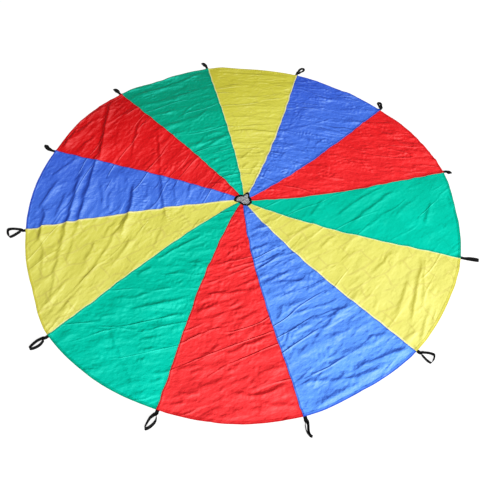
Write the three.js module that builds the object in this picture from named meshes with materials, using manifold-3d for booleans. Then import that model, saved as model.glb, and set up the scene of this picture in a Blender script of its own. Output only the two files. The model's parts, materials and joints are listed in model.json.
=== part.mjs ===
// A play parachute: twelve cloth panels sewn round a small net centre, with a webbing handle at
// the rim end of every seam, laid out flat on the floor with a few folds left in it.
// Millimetres and degrees. +Z is up, the floor is z = 0 and the origin is the middle of the centre net.
import * as THREE from "three";
import { mergeVertices } from "three/addons/utils/BufferGeometryUtils.js";
import Module from "manifold-3d";

const library = await Module();
library.setup();

// The canopy as a whole
const CANOPY_RADIUS = 1800; // from the centre to the rim end of a seam, laid flat
const CLOTH_THICKNESS = 0.5; // the panel cloth with the air that it holds
const CLEARANCE = 0.3; // between pieces that touch
const FIRST_SEAM_ANGLE = 104.3; // of seam 1, counter-clockwise from +X

// The lapped seams between panels
const SEAM_LAP = 10; // how far each panel reaches over the next one
const SEAM_RAMP = 3; // the stretch in which a panel climbs onto the next one
const SHOULDER_MARGIN = 1.5; // cloth held level past a lap or a handle tail
const LAP_SHARE = 0.2; // the most of a panel's width that its lap takes near the centre
const RAMP_SHARE = 0.08; // the same for the climb
const SHOULDER_SHARE = 0.3; // the same for the level stretch

// The rim hem
const HEM_WIDTH = 20;
const HEM_THICKNESS = 1.5; // two turns of cloth and the edge
const HEM_TAPER = 10; // where the hem's thickness runs out into the panel

// The handles, each one strap of webbing doubled at its root
const WEBBING_WIDTH = 25;
const WEBBING_THICKNESS = 1.6;
const TAIL_REACH = 18; // how much of the strap is sewn under the hem
const HINGE_STANDOFF = 5.5; // from the rim to the line on which a handle flops up and down
const NECK_LENGTH = 20; // from that line to the upright line on which the loop swings
const NECK_FLAT = 1.5; // the part of the neck that lies flat before it turns on edge
const NECK_STEPS = 7; // sections in which the neck turns on edge
const NECK_RELIEF = 0.75; // from the round end of the tail to the neck, so that it can fold back
const NECK_NOSE = 0.3; // half the thickness left at the bevelled start of the neck
const NECK_BEVEL = 1.3; // length of that bevel

// The centre
const RING_RADIUS = 75; // outer radius of the binding tape, drawn out round
const TAPE_WIDTH = 16;
const TAPE_THICKNESS = 0.8;
const PANEL_INSET = 2; // from the tape's inner edge to the panels' ends between the two tapes
const NET_THICKNESS = 0.5;
const NET_INSET = 8; // how far the net reaches between the tapes
const NET_PITCH = 9;
const NET_STRAND = 2.5;
const NET_TURN = 8; // of the net's strands from the X axis, in degrees
const RING_STEPS = 48;

// The folds left in the cloth
const FOLD_HEIGHT = 28; // of the tallest fold
const FOLD_HALF_WIDTH = 150;

// How fine the cloth is divided
const BAYS = 8; // between the shoulders of a panel
const ROUND_STEPS = 6; // in the half-round end of a tail or neck
const LOOP_STEPS = 13; // in half a loop

// The rim's radius at each seam and in the middle of each panel, clockwise from seam 1
const RIM_SHARES = [
  1.001, 0.979, 0.978, 0.97, 0.981, 0.996, 1.006, 0.991, 0.996, 0.991, 0.994, 0.99,
  1.004, 1.007, 1.005, 1.01, 1.013, 0.984, 0.98, 0.985, 0.988, 1.004, 1.005, 0.982,
];

// The outline of the crumpled centre ring at each seam, as shares of its radius
const RING_SHARES = [0.7, 1.16, 0.83, 0.88, 1, 0.96, 0.8, 0.67, 0.64, 1.1, 1.04, 0.9];
const RING_LAG = 8; // by how many degrees that outline lies behind the seams' rim ends

// Each seam's turn at the rim from its even place, and its swirl from there to the centre
const SEAM_TURNS = [0.3, -0.1, -1.1, -1.1, -0.2, 0.2, 0.5, 0.4, 0.1, -1.3, 0.2, 0.5];
const SEAM_SWIRLS = [5.5, 6.5, 8, 8.5, 8.5, 8, 8.5, 8.5, 6.5, 4, 4, 4.5];
const SWIRL_POWER = 1.5;

// Places of the rows of cloth between the centre and the hem, as shares of the canopy's radius
const ROW_SHARES = [0.11, 0.22, 0.33, 0.44, 0.56, 0.67, 0.78, 0.89];

// Each fold's two ends, x and y, as shares of the canopy's radius, and its share of the fold height
const FOLD_SHARES = [
  [-0.72, 0.67, -0.71, 0.22, 0.95],
  [-0.73, 0.19, -0.74, -0.17, 0.5],
  [-0.89, 0.33, -0.76, 0.55, 1],
  [-0.79, 0.1, -0.91, -0.1, 0.7],
  [-0.51, -0.11, -0.69, -0.57, 0.65],
  [-0.4, 0.14, -0.36, -0.08, 0.4],
  [-0.62, 0.7, -0.3, 0.86, 0.5],
  [-0.08, 0.46, 0.15, 0.47, 0.4],
  [0.39, 0.81, 0.62, 0.6, 0.5],
  [0.62, 0.56, 0.85, 0.36, 0.5],
  [0.36, 0.31, 0.58, 0.22, 0.4],
  [0.44, -0.11, 0.74, 0.11, 0.45],
  [0.81, -0.14, 0.94, 0.05, 0.5],
  [0.74, -0.5, 0.78, -0.27, 0.65],
  [0.06, -0.43, 0.36, -0.41, 0.6],
  [0.27, -0.84, 0.66, -0.69, 0.6],
  [-0.15, -0.5, 0.1, -0.44, 0.5],
  [-0.2, -0.78, 0.12, -0.76, 0.5],
  [-0.51, -0.57, -0.14, -0.5, 0.5],
  [-0.51, -0.67, -0.35, -0.9, 0.5],
];

// How each loop lies: its turn from straight out and its bend along its length in degrees, its
// length, how far its two legs stay together, half its width inside, and where between the legs'
// parting and the tip it is widest, as a share
const LOOPS = [
  { turn: 20, bend: 8, length: 84, stem: 6, halfWidth: 9, wideShare: 0.6 },
  { turn: -24, bend: 0, length: 106, stem: 24, halfWidth: 16, wideShare: 0.6 },
  { turn: 55, bend: 0, length: 76, stem: 30, halfWidth: 14, wideShare: 0.5 },
  { turn: -38, bend: -30, length: 50, stem: 6, halfWidth: 8, wideShare: 0.6 },
  { turn: 9, bend: -4, length: 107, stem: 6, halfWidth: 8, wideShare: 0.7 },
  { turn: 17, bend: 0, length: 90, stem: 2, halfWidth: 33, wideShare: 0.88 },
  { turn: -12, bend: 28, length: 110, stem: 6, halfWidth: 8, wideShare: 0.5 },
  { turn: -3, bend: -28, length: 107, stem: 2, halfWidth: 18, wideShare: 0.45 },
  { turn: 12, bend: -22, length: 112, stem: 2, halfWidth: 17, wideShare: 0.5 },
  { turn: 7, bend: 4, length: 103, stem: 2, halfWidth: 33, wideShare: 0.9 },
  { turn: -6, bend: -34, length: 100, stem: 6, halfWidth: 9, wideShare: 0.6 },
  { turn: -2, bend: 4, length: 78, stem: 6, halfWidth: 9, wideShare: 0.6 },
];
const LEG_PULL_SHARE = 0.2; // how long a leg keeps its first direction, of the way to the widest point
const SIDE_PULL_SHARE = 0.4; // the same for the run into the widest point
const TIP_PULL_SHARE = 0.6; // and for the turn of the tip

// The finishes
const PANEL_COLOURS = [
  { name: "yellow", colour: "#dcd75c" },
  { name: "blue", colour: "#3f6fdc" },
  { name: "red", colour: "#e22d33" },
  { name: "green", colour: "#08c19b" },
];
const WEBBING_COLOUR = "#17171a";
const TAPE_COLOUR = "#1b1b1e";
const NET_COLOUR = "#8f9496";
const CLOTH_ROUGHNESS = 0.55;
const WEBBING_ROUGHNESS = 0.8;

// Sizes that follow from those above
const PANEL_COUNT = SEAM_TURNS.length;
const PANEL_ANGLE = 360 / PANEL_COUNT;
const STRAP_THICKNESS = 2 * WEBBING_THICKNESS + CLEARANCE;
const HINGE_RADIUS = STRAP_THICKNESS / 2;
const TAIL_LIFT = STRAP_THICKNESS + CLEARANCE;
const NET_LEVEL = TAPE_THICKNESS + CLEARANCE;
const RING_LIFT = NET_LEVEL + NET_THICKNESS + CLEARANCE;
const TOP_TAPE_LEVEL = RING_LIFT + 2 * (CLOTH_THICKNESS + CLEARANCE);
const SHOULDER = Math.max(WEBBING_WIDTH / 2, SEAM_LAP) + SHOULDER_MARGIN;

const radians = THREE.MathUtils.degToRad;
const { cos, sin, min, max } = Math;

// A closed table of shares read at any place round it, eased from each entry to the next.
function aroundTable(table, place) {
  const count = table.length;
  const whole = Math.floor(place);
  const ease = (1 - cos(Math.PI * (place - whole))) / 2;
  const from = table[((whole % count) + count) % count];
  const to = table[(((whole + 1) % count) + count) % count];
  return from + (to - from) * ease;
}

function rimRadius(angle) {
  const place = ((FIRST_SEAM_ANGLE - angle) / PANEL_ANGLE) * 2;
  return CANOPY_RADIUS * aroundTable(RIM_SHARES, place);
}

function ringRadius(angle) {
  const place = (FIRST_SEAM_ANGLE - RING_LAG - angle) / PANEL_ANGLE;
  return RING_RADIUS * aroundTable(RING_SHARES, place);
}

const ringInside = (angle) => ringRadius(angle) - TAPE_WIDTH;

// The angle of a seam where the panels are a given radius from the centre.
function seamAngle(seam, radius) {
  const index = seam % PANEL_COUNT;
  const inward = max(0, 1 - radius / CANOPY_RADIUS);
  const even = FIRST_SEAM_ANGLE - PANEL_ANGLE * seam;
  return even + SEAM_TURNS[index] - SEAM_SWIRLS[index] * inward ** SWIRL_POWER;
}

// The rows of a panel from its inner end to the rim, with the cloth's thickness and least height.
const panelRows = [
  { nominal: RING_RADIUS - TAPE_WIDTH, radius: (a) => ringInside(a) + PANEL_INSET, level: RING_LIFT },
  { nominal: RING_RADIUS, radius: (a) => ringRadius(a) + SHOULDER_MARGIN, level: RING_LIFT },
  ...ROW_SHARES.map((share) => ({
    nominal: CANOPY_RADIUS * share,
    radius: (a) => rimRadius(a) * share,
  })),
  ...[HEM_WIDTH + HEM_TAPER, HEM_WIDTH, 0].map((inward) => ({
    nominal: CANOPY_RADIUS - inward,
    radius: (a) => rimRadius(a) - inward,
    hemmed: inward <= HEM_WIDTH,
  })),
];

const rowThickness = (row) => (row.hemmed ? HEM_THICKNESS : CLOTH_THICKNESS);

// The underside's height over the floor where the cloth lies in folds.
function foldHeight(x, y) {
  let height = 0;
  for (const [fromX, fromY, toX, toY, share] of FOLD_SHARES) {
    const start = new THREE.Vector3(fromX, fromY, 0).multiplyScalar(CANOPY_RADIUS);
    const end = new THREE.Vector3(toX, toY, 0).multiplyScalar(CANOPY_RADIUS);
    const point = new THREE.Vector3(x, y, 0);
    const nearest = new THREE.Line3(start, end).closestPointToPoint(point, true, new THREE.Vector3());
    const away = min(1, nearest.distanceTo(point) / FOLD_HALF_WIDTH);
    height = max(height, FOLD_HEIGHT * share * (1 - away * away) ** 2);
  }
  return height;
}

// The columns of a panel in one row: each one's angle, whether it is held level over a handle's
// tail, and whether it lies over the next panel.
function panelColumns(panel, row) {
  const width = row.nominal * radians(PANEL_ANGLE);
  const turnOf = (length) => THREE.MathUtils.radToDeg(length / row.nominal);
  const lap = turnOf(min(SEAM_LAP, width * LAP_SHARE));
  const ramp = turnOf(min(SEAM_RAMP, width * RAMP_SHARE));
  const shoulder = turnOf(min(SHOULDER, width * SHOULDER_SHARE));
  const left = seamAngle(panel, row.nominal);
  const right = seamAngle(panel + 1, row.nominal);
  const columns = [left, left - lap].map((angle) => ({ angle, side: true }));
  for (let bay = 0; bay <= BAYS; bay++) {
    const angle = THREE.MathUtils.lerp(left - shoulder, right + shoulder, bay / BAYS);
    columns.push({ angle, side: bay === 0 || bay === BAYS });
  }
  columns.push({ angle: right + ramp, side: true });
  columns.push({ angle: right, side: true, lapped: true });
  columns.push({ angle: right - lap, side: true, lapped: true });
  return columns;
}

function panelPoint(row, column) {
  const radius = row.radius(column.angle);
  const x = radius * cos(radians(column.angle));
  const y = radius * sin(radians(column.angle));
  let under = row.level ?? foldHeight(x, y);
  if (row.hemmed && column.side) under = TAIL_LIFT;
  if (column.lapped) under += rowThickness(row) + CLEARANCE;
  return { x, y, under, over: under + rowThickness(row) };
}

// A closed geometry from points and triangles.
function solid(points, triangles) {
  const geometry = new THREE.BufferGeometry();
  geometry.setAttribute("position", new THREE.Float32BufferAttribute(points.flat(), 3));
  geometry.setIndex(triangles.flat());
  geometry.computeVertexNormals();
  return geometry;
}

// A closed sheet over a grid of points, rows outwards and columns clockwise.
function sheet(grid) {
  const rows = grid.length;
  const columns = grid[0].length;
  const cells = grid.flat();
  const points = [...cells.map((p) => [p.x, p.y, p.under]), ...cells.map((p) => [p.x, p.y, p.over])];
  const low = (row, column) => row * columns + column;
  const high = (row, column) => rows * columns + low(row, column);
  const triangles = [];
  const quad = (a, b, c, d) => triangles.push([a, b, c], [a, c, d]);
  for (let r = 0; r + 1 < rows; r++) {
    for (let c = 0; c + 1 < columns; c++) {
      quad(high(r, c), high(r, c + 1), high(r + 1, c + 1), high(r + 1, c));
      triangles.push([low(r, c), low(r + 1, c + 1), low(r, c + 1)]);
      triangles.push([low(r, c), low(r + 1, c), low(r + 1, c + 1)]);
    }
    const last = columns - 1;
    quad(low(r + 1, 0), low(r, 0), high(r, 0), high(r + 1, 0));
    quad(low(r, last), low(r + 1, last), high(r + 1, last), high(r, last));
  }
  for (let c = 0; c + 1 < columns; c++) {
    const last = rows - 1;
    quad(low(0, c), low(0, c + 1), high(0, c + 1), high(0, c));
    quad(low(last, c + 1), low(last, c), high(last, c), high(last, c + 1));
  }
  return solid(points, triangles);
}

// A skin over sections that each go round the direction of travel, right-handed.
function skin(sections, closed) {
  const size = sections[0].length;
  const count = sections.length;
  const points = sections.flat();
  const at = (section, corner) => (section % count) * size + (corner % size);
  const triangles = [];
  for (let s = 0; s < (closed ? count : count - 1); s++) {
    for (let c = 0; c < size; c++) {
      triangles.push([at(s, c), at(s + 1, c + 1), at(s + 1, c)]);
      triangles.push([at(s, c), at(s, c + 1), at(s + 1, c + 1)]);
    }
  }
  for (let c = 1; !closed && c + 1 < size; c++) {
    triangles.push([at(0, 0), at(0, c + 1), at(0, c)]);
    triangles.push([at(count - 1, 0), at(count - 1, c), at(count - 1, c + 1)]);
  }
  return solid(points, triangles);
}

function panelGeometry(panel) {
  const rowOfPoints = (row) => panelColumns(panel, row).map((column) => panelPoint(row, column));
  return sheet(panelRows.map(rowOfPoints));
}

// The binding tape round the centre, from one height up to another.
function tapeGeometry(level) {
  const sections = [];
  for (let step = 0; step < RING_STEPS; step++) {
    const angle = (360 * step) / RING_STEPS;
    const corner = (radius, z) => [radius * cos(radians(angle)), radius * sin(radians(angle)), z];
    const top = level + TAPE_THICKNESS;
    const inside = ringInside(angle);
    const outside = ringRadius(angle);
    sections.push([
      corner(inside, level),
      corner(inside, top),
      corner(outside, top),
      corner(outside, level),
    ]);
  }
  return skin(sections, true);
}

// Whether a square gap of the net, with a strand round it, lies inside the tape.
function gapFits(x, y) {
  const reach = NET_PITCH / 2 + NET_STRAND / 2;
  const corners = [
    [-reach, -reach],
    [reach, -reach],
    [reach, reach],
    [-reach, reach],
  ];
  return corners.every(([dx, dy]) => {
    const angle = THREE.MathUtils.radToDeg(Math.atan2(y + dy, x + dx));
    return Math.hypot(x + dx, y + dy) < ringInside(angle + NET_TURN);
  });
}

// A geometry as a solid that can be cut.
function cuttable(geometry) {
  const bare = geometry.clone();
  bare.deleteAttribute("normal");
  bare.deleteAttribute("uv");
  const merged = mergeVertices(bare);
  return new library.Manifold(
    new library.Mesh({
      numProp: 3,
      vertProperties: merged.attributes.position.array,
      triVerts: Uint32Array.from(merged.index.array),
    }),
  );
}

function geometryOf(cut) {
  const { vertProperties, triVerts } = cut.getMesh();
  const geometry = new THREE.BufferGeometry();
  geometry.setAttribute("position", new THREE.BufferAttribute(vertProperties, 3));
  geometry.setIndex(new THREE.BufferAttribute(triVerts, 1));
  return geometry;
}

// The flat net: a disc of the ring's outline with its square gaps cut out.
function netGeometry() {
  const rim = [];
  for (let step = 0; step < RING_STEPS; step++) {
    const angle = (360 * step) / RING_STEPS;
    const radius = ringInside(angle + NET_TURN) + NET_INSET;
    rim.push(new THREE.Vector2(radius * cos(radians(angle)), radius * sin(radians(angle))));
  }
  const settings = { depth: NET_THICKNESS, bevelEnabled: false };
  const disc = new THREE.ExtrudeGeometry(new THREE.Shape(rim), settings);
  const gap = new THREE.BoxGeometry(NET_PITCH - NET_STRAND, NET_PITCH - NET_STRAND, 3 * NET_THICKNESS);
  const reach = Math.ceil((RING_RADIUS * max(...RING_SHARES)) / NET_PITCH);
  let net = cuttable(disc);
  for (let column = -reach; column <= reach; column++) {
    for (let row = -reach; row <= reach; row++) {
      const x = column * NET_PITCH;
      const y = row * NET_PITCH;
      if (gapFits(x, y)) net = net.subtract(cuttable(gap.clone().translate(x, y, NET_THICKNESS / 2)));
    }
  }
  return geometryOf(net);
}

// The doubled strap sewn under the hem, with a round end on the line where the handle flops.
function tailGeometry() {
  const profile = new THREE.Shape();
  const end = HINGE_STANDOFF + TAIL_REACH;
  profile.moveTo(-end, 0).lineTo(0, 0);
  profile.absarc(0, HINGE_RADIUS, HINGE_RADIUS, radians(-90), radians(90), false);
  profile.lineTo(-end, STRAP_THICKNESS).closePath();
  const settings = { depth: WEBBING_WIDTH, bevelEnabled: false, curveSegments: ROUND_STEPS };
  return new THREE.ExtrudeGeometry(profile, settings)
    .rotateX(radians(90))
    .translate(0, WEBBING_WIDTH / 2, 0);
}

// A strap section square to +X, turned about its middle and standing on the floor.
function strapSection(x, turn, halfThickness) {
  const across = WEBBING_WIDTH / 2;
  const middle = across * sin(turn) + HINGE_RADIUS * cos(turn);
  const corners = [
    [across, halfThickness],
    [-across, halfThickness],
    [-across, -halfThickness],
    [across, -halfThickness],
  ];
  return corners.map(([wide, thick]) => [
    x,
    wide * cos(turn) - thick * sin(turn),
    middle + wide * sin(turn) + thick * cos(turn),
  ]);
}

// The doubled strap from the rim outwards, turning from flat to on edge.
function neckGeometry() {
  const start = HINGE_RADIUS + NECK_RELIEF;
  const turning = start + NECK_BEVEL + NECK_FLAT;
  const sections = [
    strapSection(start, 0, NECK_NOSE),
    strapSection(start + NECK_BEVEL, 0, HINGE_RADIUS),
  ];
  for (let step = 0; step <= NECK_STEPS; step++) {
    const share = step / NECK_STEPS;
    const turn = radians(90) * THREE.MathUtils.smoothstep(share, 0, 1);
    sections.push(strapSection(THREE.MathUtils.lerp(turning, NECK_LENGTH, share), turn, HINGE_RADIUS));
  }
  for (let step = 1; step < ROUND_STEPS; step++) {
    const round = (radians(90) * step) / ROUND_STEPS;
    const x = NECK_LENGTH + HINGE_RADIUS * sin(round);
    sections.push(strapSection(x, radians(90), HINGE_RADIUS * cos(round)));
  }
  return skin(sections, false);
}

// Half the middle line of a loop's strap, from its root to its tip, seen from above.
function loopMiddle({ length, stem, halfWidth, wideShare }) {
  const leg = (WEBBING_THICKNESS + CLEARANCE) / 2;
  const wide = halfWidth + WEBBING_THICKNESS / 2;
  const tip = length - WEBBING_THICKNESS / 2;
  const widest = THREE.MathUtils.lerp(stem, tip, wideShare);
  const outwards = THREE.MathUtils.lerp(stem, widest, LEG_PULL_SHARE);
  const inwards = THREE.MathUtils.lerp(widest, stem, SIDE_PULL_SHARE);
  const round = THREE.MathUtils.lerp(widest, tip, TIP_PULL_SHARE);
  const path = new THREE.Path();
  path.moveTo(0, leg).lineTo(stem, leg);
  path.bezierCurveTo(outwards, leg, inwards, wide, widest, wide);
  path.bezierCurveTo(round, wide, tip, wide * TIP_PULL_SHARE, tip, 0);
  return path.getSpacedPoints(LOOP_STEPS);
}

// A point of a straight loop carried along as the loop bends evenly over its length.
function bentPoint(point, { bend, length }) {
  if (bend === 0) return point.clone();
  const angle = (radians(bend) * point.x) / length;
  const radius = length / radians(bend) - point.y;
  return new THREE.Vector2(radius * sin(angle), length / radians(bend) - radius * cos(angle));
}

function loopGeometry(loop) {
  const half = loopMiddle(loop);
  const mirrored = half.slice(0, -1).reverse().map((p) => new THREE.Vector2(p.x, -p.y));
  const middle = [...half, ...mirrored].map((point) => bentPoint(point, loop));
  const offset = (side) => middle.map((point, index) => {
    const before = middle[max(0, index - 1)];
    const after = middle[min(middle.length - 1, index + 1)];
    const along = after.clone().sub(before).normalize();
    const out = new THREE.Vector2(-along.y, along.x).multiplyScalar((side * WEBBING_THICKNESS) / 2);
    return point.clone().add(out);
  });
  const outline = new THREE.Shape([...offset(1), ...offset(-1).reverse()]);
  const settings = { depth: WEBBING_WIDTH, bevelEnabled: false };
  return new THREE.ExtrudeGeometry(outline, settings).translate(HINGE_RADIUS + CLEARANCE, 0, 0);
}

function piece(name, geometry, colour, roughness) {
  const material = new THREE.MeshStandardMaterial({ color: colour, roughness, metalness: 0 });
  const mesh = new THREE.Mesh(geometry, material);
  mesh.name = name;
  return mesh;
}

function panelPiece(index) {
  const { name, colour } = PANEL_COLOURS[index % PANEL_COLOURS.length];
  return piece(`panel_${index + 1}_${name}`, panelGeometry(index), colour, CLOTH_ROUGHNESS);
}

// One handle: its tail under the hem, its neck, and its loop turned as it lies.
function handle(index) {
  const strap = (part, geometry) =>
    piece(`handle_${index + 1}_${part}`, geometry, WEBBING_COLOUR, WEBBING_ROUGHNESS);
  const angle = seamAngle(index, CANOPY_RADIUS);
  const radius = rimRadius(angle) + HINGE_STANDOFF;
  const swinging = new THREE.Group();
  swinging.position.x = NECK_LENGTH;
  swinging.rotation.z = radians(LOOPS[index].turn);
  swinging.add(strap("loop", loopGeometry(LOOPS[index])));
  const group = new THREE.Group();
  group.position.set(radius * cos(radians(angle)), radius * sin(radians(angle)), 0);
  group.rotation.z = radians(angle);
  group.add(strap("tail", tailGeometry()), strap("neck", neckGeometry()), swinging);
  return group;
}

function centre() {
  const group = new THREE.Group();
  const bottom = piece("centre_tape_bottom", tapeGeometry(0), TAPE_COLOUR, WEBBING_ROUGHNESS);
  const top = piece("centre_tape_top", tapeGeometry(TOP_TAPE_LEVEL), TAPE_COLOUR, WEBBING_ROUGHNESS);
  const net = piece("centre_net", netGeometry(), NET_COLOUR, WEBBING_ROUGHNESS);
  net.position.z = NET_LEVEL;
  net.rotation.z = radians(NET_TURN);
  group.add(bottom, net, top);
  return group;
}

const parachute = new THREE.Group();
parachute.name = "toy_parachute";
for (let index = 0; index < PANEL_COUNT; index++) {
  parachute.add(panelPiece(index), handle(index));
}
parachute.add(centre());

export default parachute;
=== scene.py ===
import json
import math

import bpy
import numpy as np
from mathutils import Matrix, Vector


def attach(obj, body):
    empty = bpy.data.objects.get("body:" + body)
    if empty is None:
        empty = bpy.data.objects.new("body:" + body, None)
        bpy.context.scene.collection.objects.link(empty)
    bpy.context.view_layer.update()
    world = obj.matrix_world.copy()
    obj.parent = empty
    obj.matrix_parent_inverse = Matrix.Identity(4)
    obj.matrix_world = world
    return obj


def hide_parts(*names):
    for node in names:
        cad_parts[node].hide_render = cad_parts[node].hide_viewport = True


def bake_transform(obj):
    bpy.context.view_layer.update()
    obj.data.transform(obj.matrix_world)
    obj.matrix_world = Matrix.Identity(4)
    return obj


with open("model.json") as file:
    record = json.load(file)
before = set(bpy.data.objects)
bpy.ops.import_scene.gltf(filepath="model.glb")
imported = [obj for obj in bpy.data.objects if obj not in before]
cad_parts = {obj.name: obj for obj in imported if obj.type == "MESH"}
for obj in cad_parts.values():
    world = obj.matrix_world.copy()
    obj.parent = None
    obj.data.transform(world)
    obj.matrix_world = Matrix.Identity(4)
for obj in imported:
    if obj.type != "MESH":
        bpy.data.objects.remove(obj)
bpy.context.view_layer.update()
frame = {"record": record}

# A play parachute laid out on a pale floor: twelve cloth panels, webbing handles, a net centre.
# Metres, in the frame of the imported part. Angles are in degrees, counter-clockwise from +X.

# The canopy, as the part's source draws it
CANOPY_RADIUS = 1.8
FIRST_SEAM_ANGLE = 104.3
PANEL_COUNT = 12
PANEL_ANGLE = 360 / PANEL_COUNT
RIM_SHARES = [
    1.001, 0.979, 0.978, 0.97, 0.981, 0.996, 1.006, 0.991, 0.996, 0.991, 0.994, 0.99,
    1.004, 1.007, 1.005, 1.01, 1.013, 0.984, 0.98, 0.985, 0.988, 1.004, 1.005, 0.982,
]
SEAM_TURNS = [0.3, -0.1, -1.1, -1.1, -0.2, 0.2, 0.5, 0.4, 0.1, -1.3, 0.2, 0.5]
SEAM_SWIRLS = [5.5, 6.5, 8, 8.5, 8.5, 8, 8.5, 8.5, 6.5, 4, 4, 4.5]
MEAN_SWIRL = 6.6
SWIRL_POWER = 1.5
ROUND_SHARE = 0.11  # of the radius: inside it the canopy follows the ring's shape
EVEN_RIM = 0.05  # how far in from the rim the rows keep their true distance to it
PANEL_COLOURS = ["yellow", "blue", "red", "green"]

# Cloth, hem and seams
CLOTH = 0.00045
HEM = 0.0015
HEM_WIDTH = 0.020
HEM_STEP = 0.0016  # over which the hem's inner edge rises
HEM_STITCHES = (0.0180, 0.0045)  # in from the rim
HEM_ROWS = (0.0235, 0.0212, 0.0196, 0.0180, 0.0130, 0.0085, 0.0045, 0.0020)  # in from the rim
HEM_SHADE_INSET = 0.0105  # in from the rim; outside it the hem's painted shade is deeper
SEAM_LAP = 0.010
SEAM_RAMP = 0.003
SHOULDER = 0.014  # from each seam to the first of the even columns
GAP = 0.00025  # between one cloth and the next one on it
TAIL_LIFT = 0.0039  # of the cloth over a handle's sewn end
FIRST_ROW = 0.061
LAST_ROW = 0.030  # in from the rim; closer rows follow the hem
ROWS = 218
BAYS = 98  # between the even columns
LAP_COLUMNS = 4  # the columns that lie on the next panel
UNDER_COLUMNS = 4  # the columns that lie under the panel before
STITCH_LIFT = 0.0001  # of the thread's middle over the cloth
TACK_LIFT = 0.0002

# How the cloth lies on the floor, on the handles' sewn ends and on the ring
MEAN_LIFT = 0.0028
FLOOR_ROUNDING = 0.0020  # how softly the cloth comes down on the floor
HIGH_FOLD = 0.020  # folds above this are pressed down
HIGH_FOLD_ROOM = 0.012  # the most that they keep above it
SWELL = (0.0018, 0.42)  # height and length of the widest waves
FOLD_SWAY = (0.0024, 0.14)  # how far a fold's line sways aside, and the length of the sway
SEAM_SWAY = (0.0017, 0.15)
SWAY_START = (0.10, 0.12)  # from the centre: where seams start to sway, and over how much
CALM_RIM = (0.06, 0.3)  # in from the rim, and the share of the sway at the rim itself
TAIL_ROOM = (0.018, 0.014)  # clear of a handle's sewn end, inwards and to each side
TAIL_SLOPE = (0.016, 0.012)  # the length of the slope beyond it, inwards and to each side
TAIL_MARGIN = 0.02  # more room round a sewn end, where no seam sways
HINGE_ROOM = (0.055, 0.075, 0.7)  # radius round a hinge, slope, and the share by which it is lower
RING_SLOPE = (0.002, 0.05)  # clear of the ring, and the length of the slope beyond it

# The centre
RING_RADIUS = 0.075
RING_SHARES = [0.7, 1.16, 0.83, 0.88, 1, 0.96, 0.8, 0.67, 0.64, 1.1, 1.04, 0.9]
RING_LAG = 8
TAPE_WIDTH = 0.020
TAPE_THICKNESS = 0.0008
TAPE_STEPS = 192
TAPE_STITCHES = (0.0025, 0.0175)  # in from the tape's outer edge
TAPE_WOBBLE = [(0.0007, 7, 1), (0.0005, 17, 2)]  # how far, how often round, times the phase
TAPE_RIPPLE = (0.00035, 11)
LOW_TAPE_INSET = 0.0004
NET_LEVEL = 0.00135
NET_SIDE = 0.0020  # of one six-sided cell
NET_YARN = 0.00072
NET_REACH = 0.11  # further out than the ring is anywhere
NET_TUCK = 0.007  # how far the net runs in under the tape
RING_LIFT = 0.0019  # of the cloth between the tapes
TOP_TAPE_LEVEL = 0.0041
PUCKER = (0.034, 0.062, 0.006, 0.038)  # x, y, height and reach of the lifted edge of the centre
# A tape's section, from edge to edge and round again: across and up, in shares of its half width
# and of its thickness
TAPE_SECTION = [(-1, 0.0), (-0.97, 0.45), (-0.88, 0.5), (-0.5, 0.54), (0, 0.5), (0.5, 0.54),
                (0.88, 0.5), (0.97, 0.45), (1, 0.0), (0.97, -0.45), (0.88, -0.5),
                (-0.88, -0.5), (-0.97, -0.45)]

# Handles: the turn of each is read from its joint
WEBBING_WIDTH = 0.025
WEBBING = 0.0016
STRAP_GAP = 0.0003
LAYER = (WEBBING + STRAP_GAP) / 2  # from the middle of two layers to the middle of either
STACK = WEBBING + STRAP_GAP / 2  # the middle of two layers of webbing on the floor
TAIL_END = -0.0235
NECK_LENGTH = 0.020
NECK_SPLIT = 0.0105
LOOP_START = 0.00205
SWING_REACH = 0.006  # to each side of the pivot, where the strap bends with a swing
STRAP_PITCH = 0.0018
TAIL_PITCH = 0.0011
PARTING = (0.0025, 0.0095)  # from the middle: where a leg starts to tip on edge, and over how much
MAP_STARTS = (0, 0.034, 0.2)  # of the weave on the root's upper layer, the loop, the lower layer
# Each handle as it lies: bend to one side and how much of it comes near the tip, length, where
# the legs part, half width, widest share, how straight the legs part, how round the tip is,
# whether both legs lie together, how far aside of each other they lie where they do, and the lean
# of the strap from upright in the middle and at the tip, where 90 is flat on the floor
LOOPS = [
    (6, 1, 0.086, 0.006, 0.0030, 0.6, 0.2, 1.0, True, 0.0110, 88, 84),
    (0, 1, 0.106, 0.020, 0.0190, 0.6, 0.3, 1.0, False, 0.009, 84, 76),
    (0, 1, 0.080, 0.034, 0.0135, 0.5, 0.3, 1.0, False, 0.009, 84, 76),
    (-46, 2, 0.045, 0.006, 0.0022, 0.6, 0.2, 1.0, True, 0.0055, 84, 72),
    (-4, 1, 0.110, 0.006, 0.0036, 0.7, 0.2, 1.0, True, 0.0030, 80, 72),
    (0, 1, 0.090, -0.011, 0.0340, 0.90, 0.9, 0.9, False, 0.0, 0, 30),
    (44, 4, 0.114, -0.009, 0.0088, 0.27, 0.9, 0.0, False, 0.0, 0, 0),
    (-28, 1, 0.107, -0.010, 0.0200, 0.42, 0.9, 0.5, False, 0.003, 0, 0),
    (-22, 1, 0.112, -0.011, 0.0190, 0.48, 0.9, 0.6, False, 0.0, 0, 0),
    (4, 1, 0.103, -0.011, 0.0390, 0.92, 0.9, 0.9, False, 0.0, 0, 30),
    (-50, 2, 0.100, 0.006, 0.0045, 0.8, 0.2, 1.0, True, 0.0080, 86, 78),
    (4, 1, 0.080, 0.006, 0.0045, 0.8, 0.2, 1.0, True, 0.0115, 88, 80),
]
# Open handles whose straps stand on edge: how far the straps tip over, and to which side of
# straight out
TIPPED = {6: (20, 128), 7: (22, 80), 8: (48, -145), 9: (26, -125), 10: (18, -90)}
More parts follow.
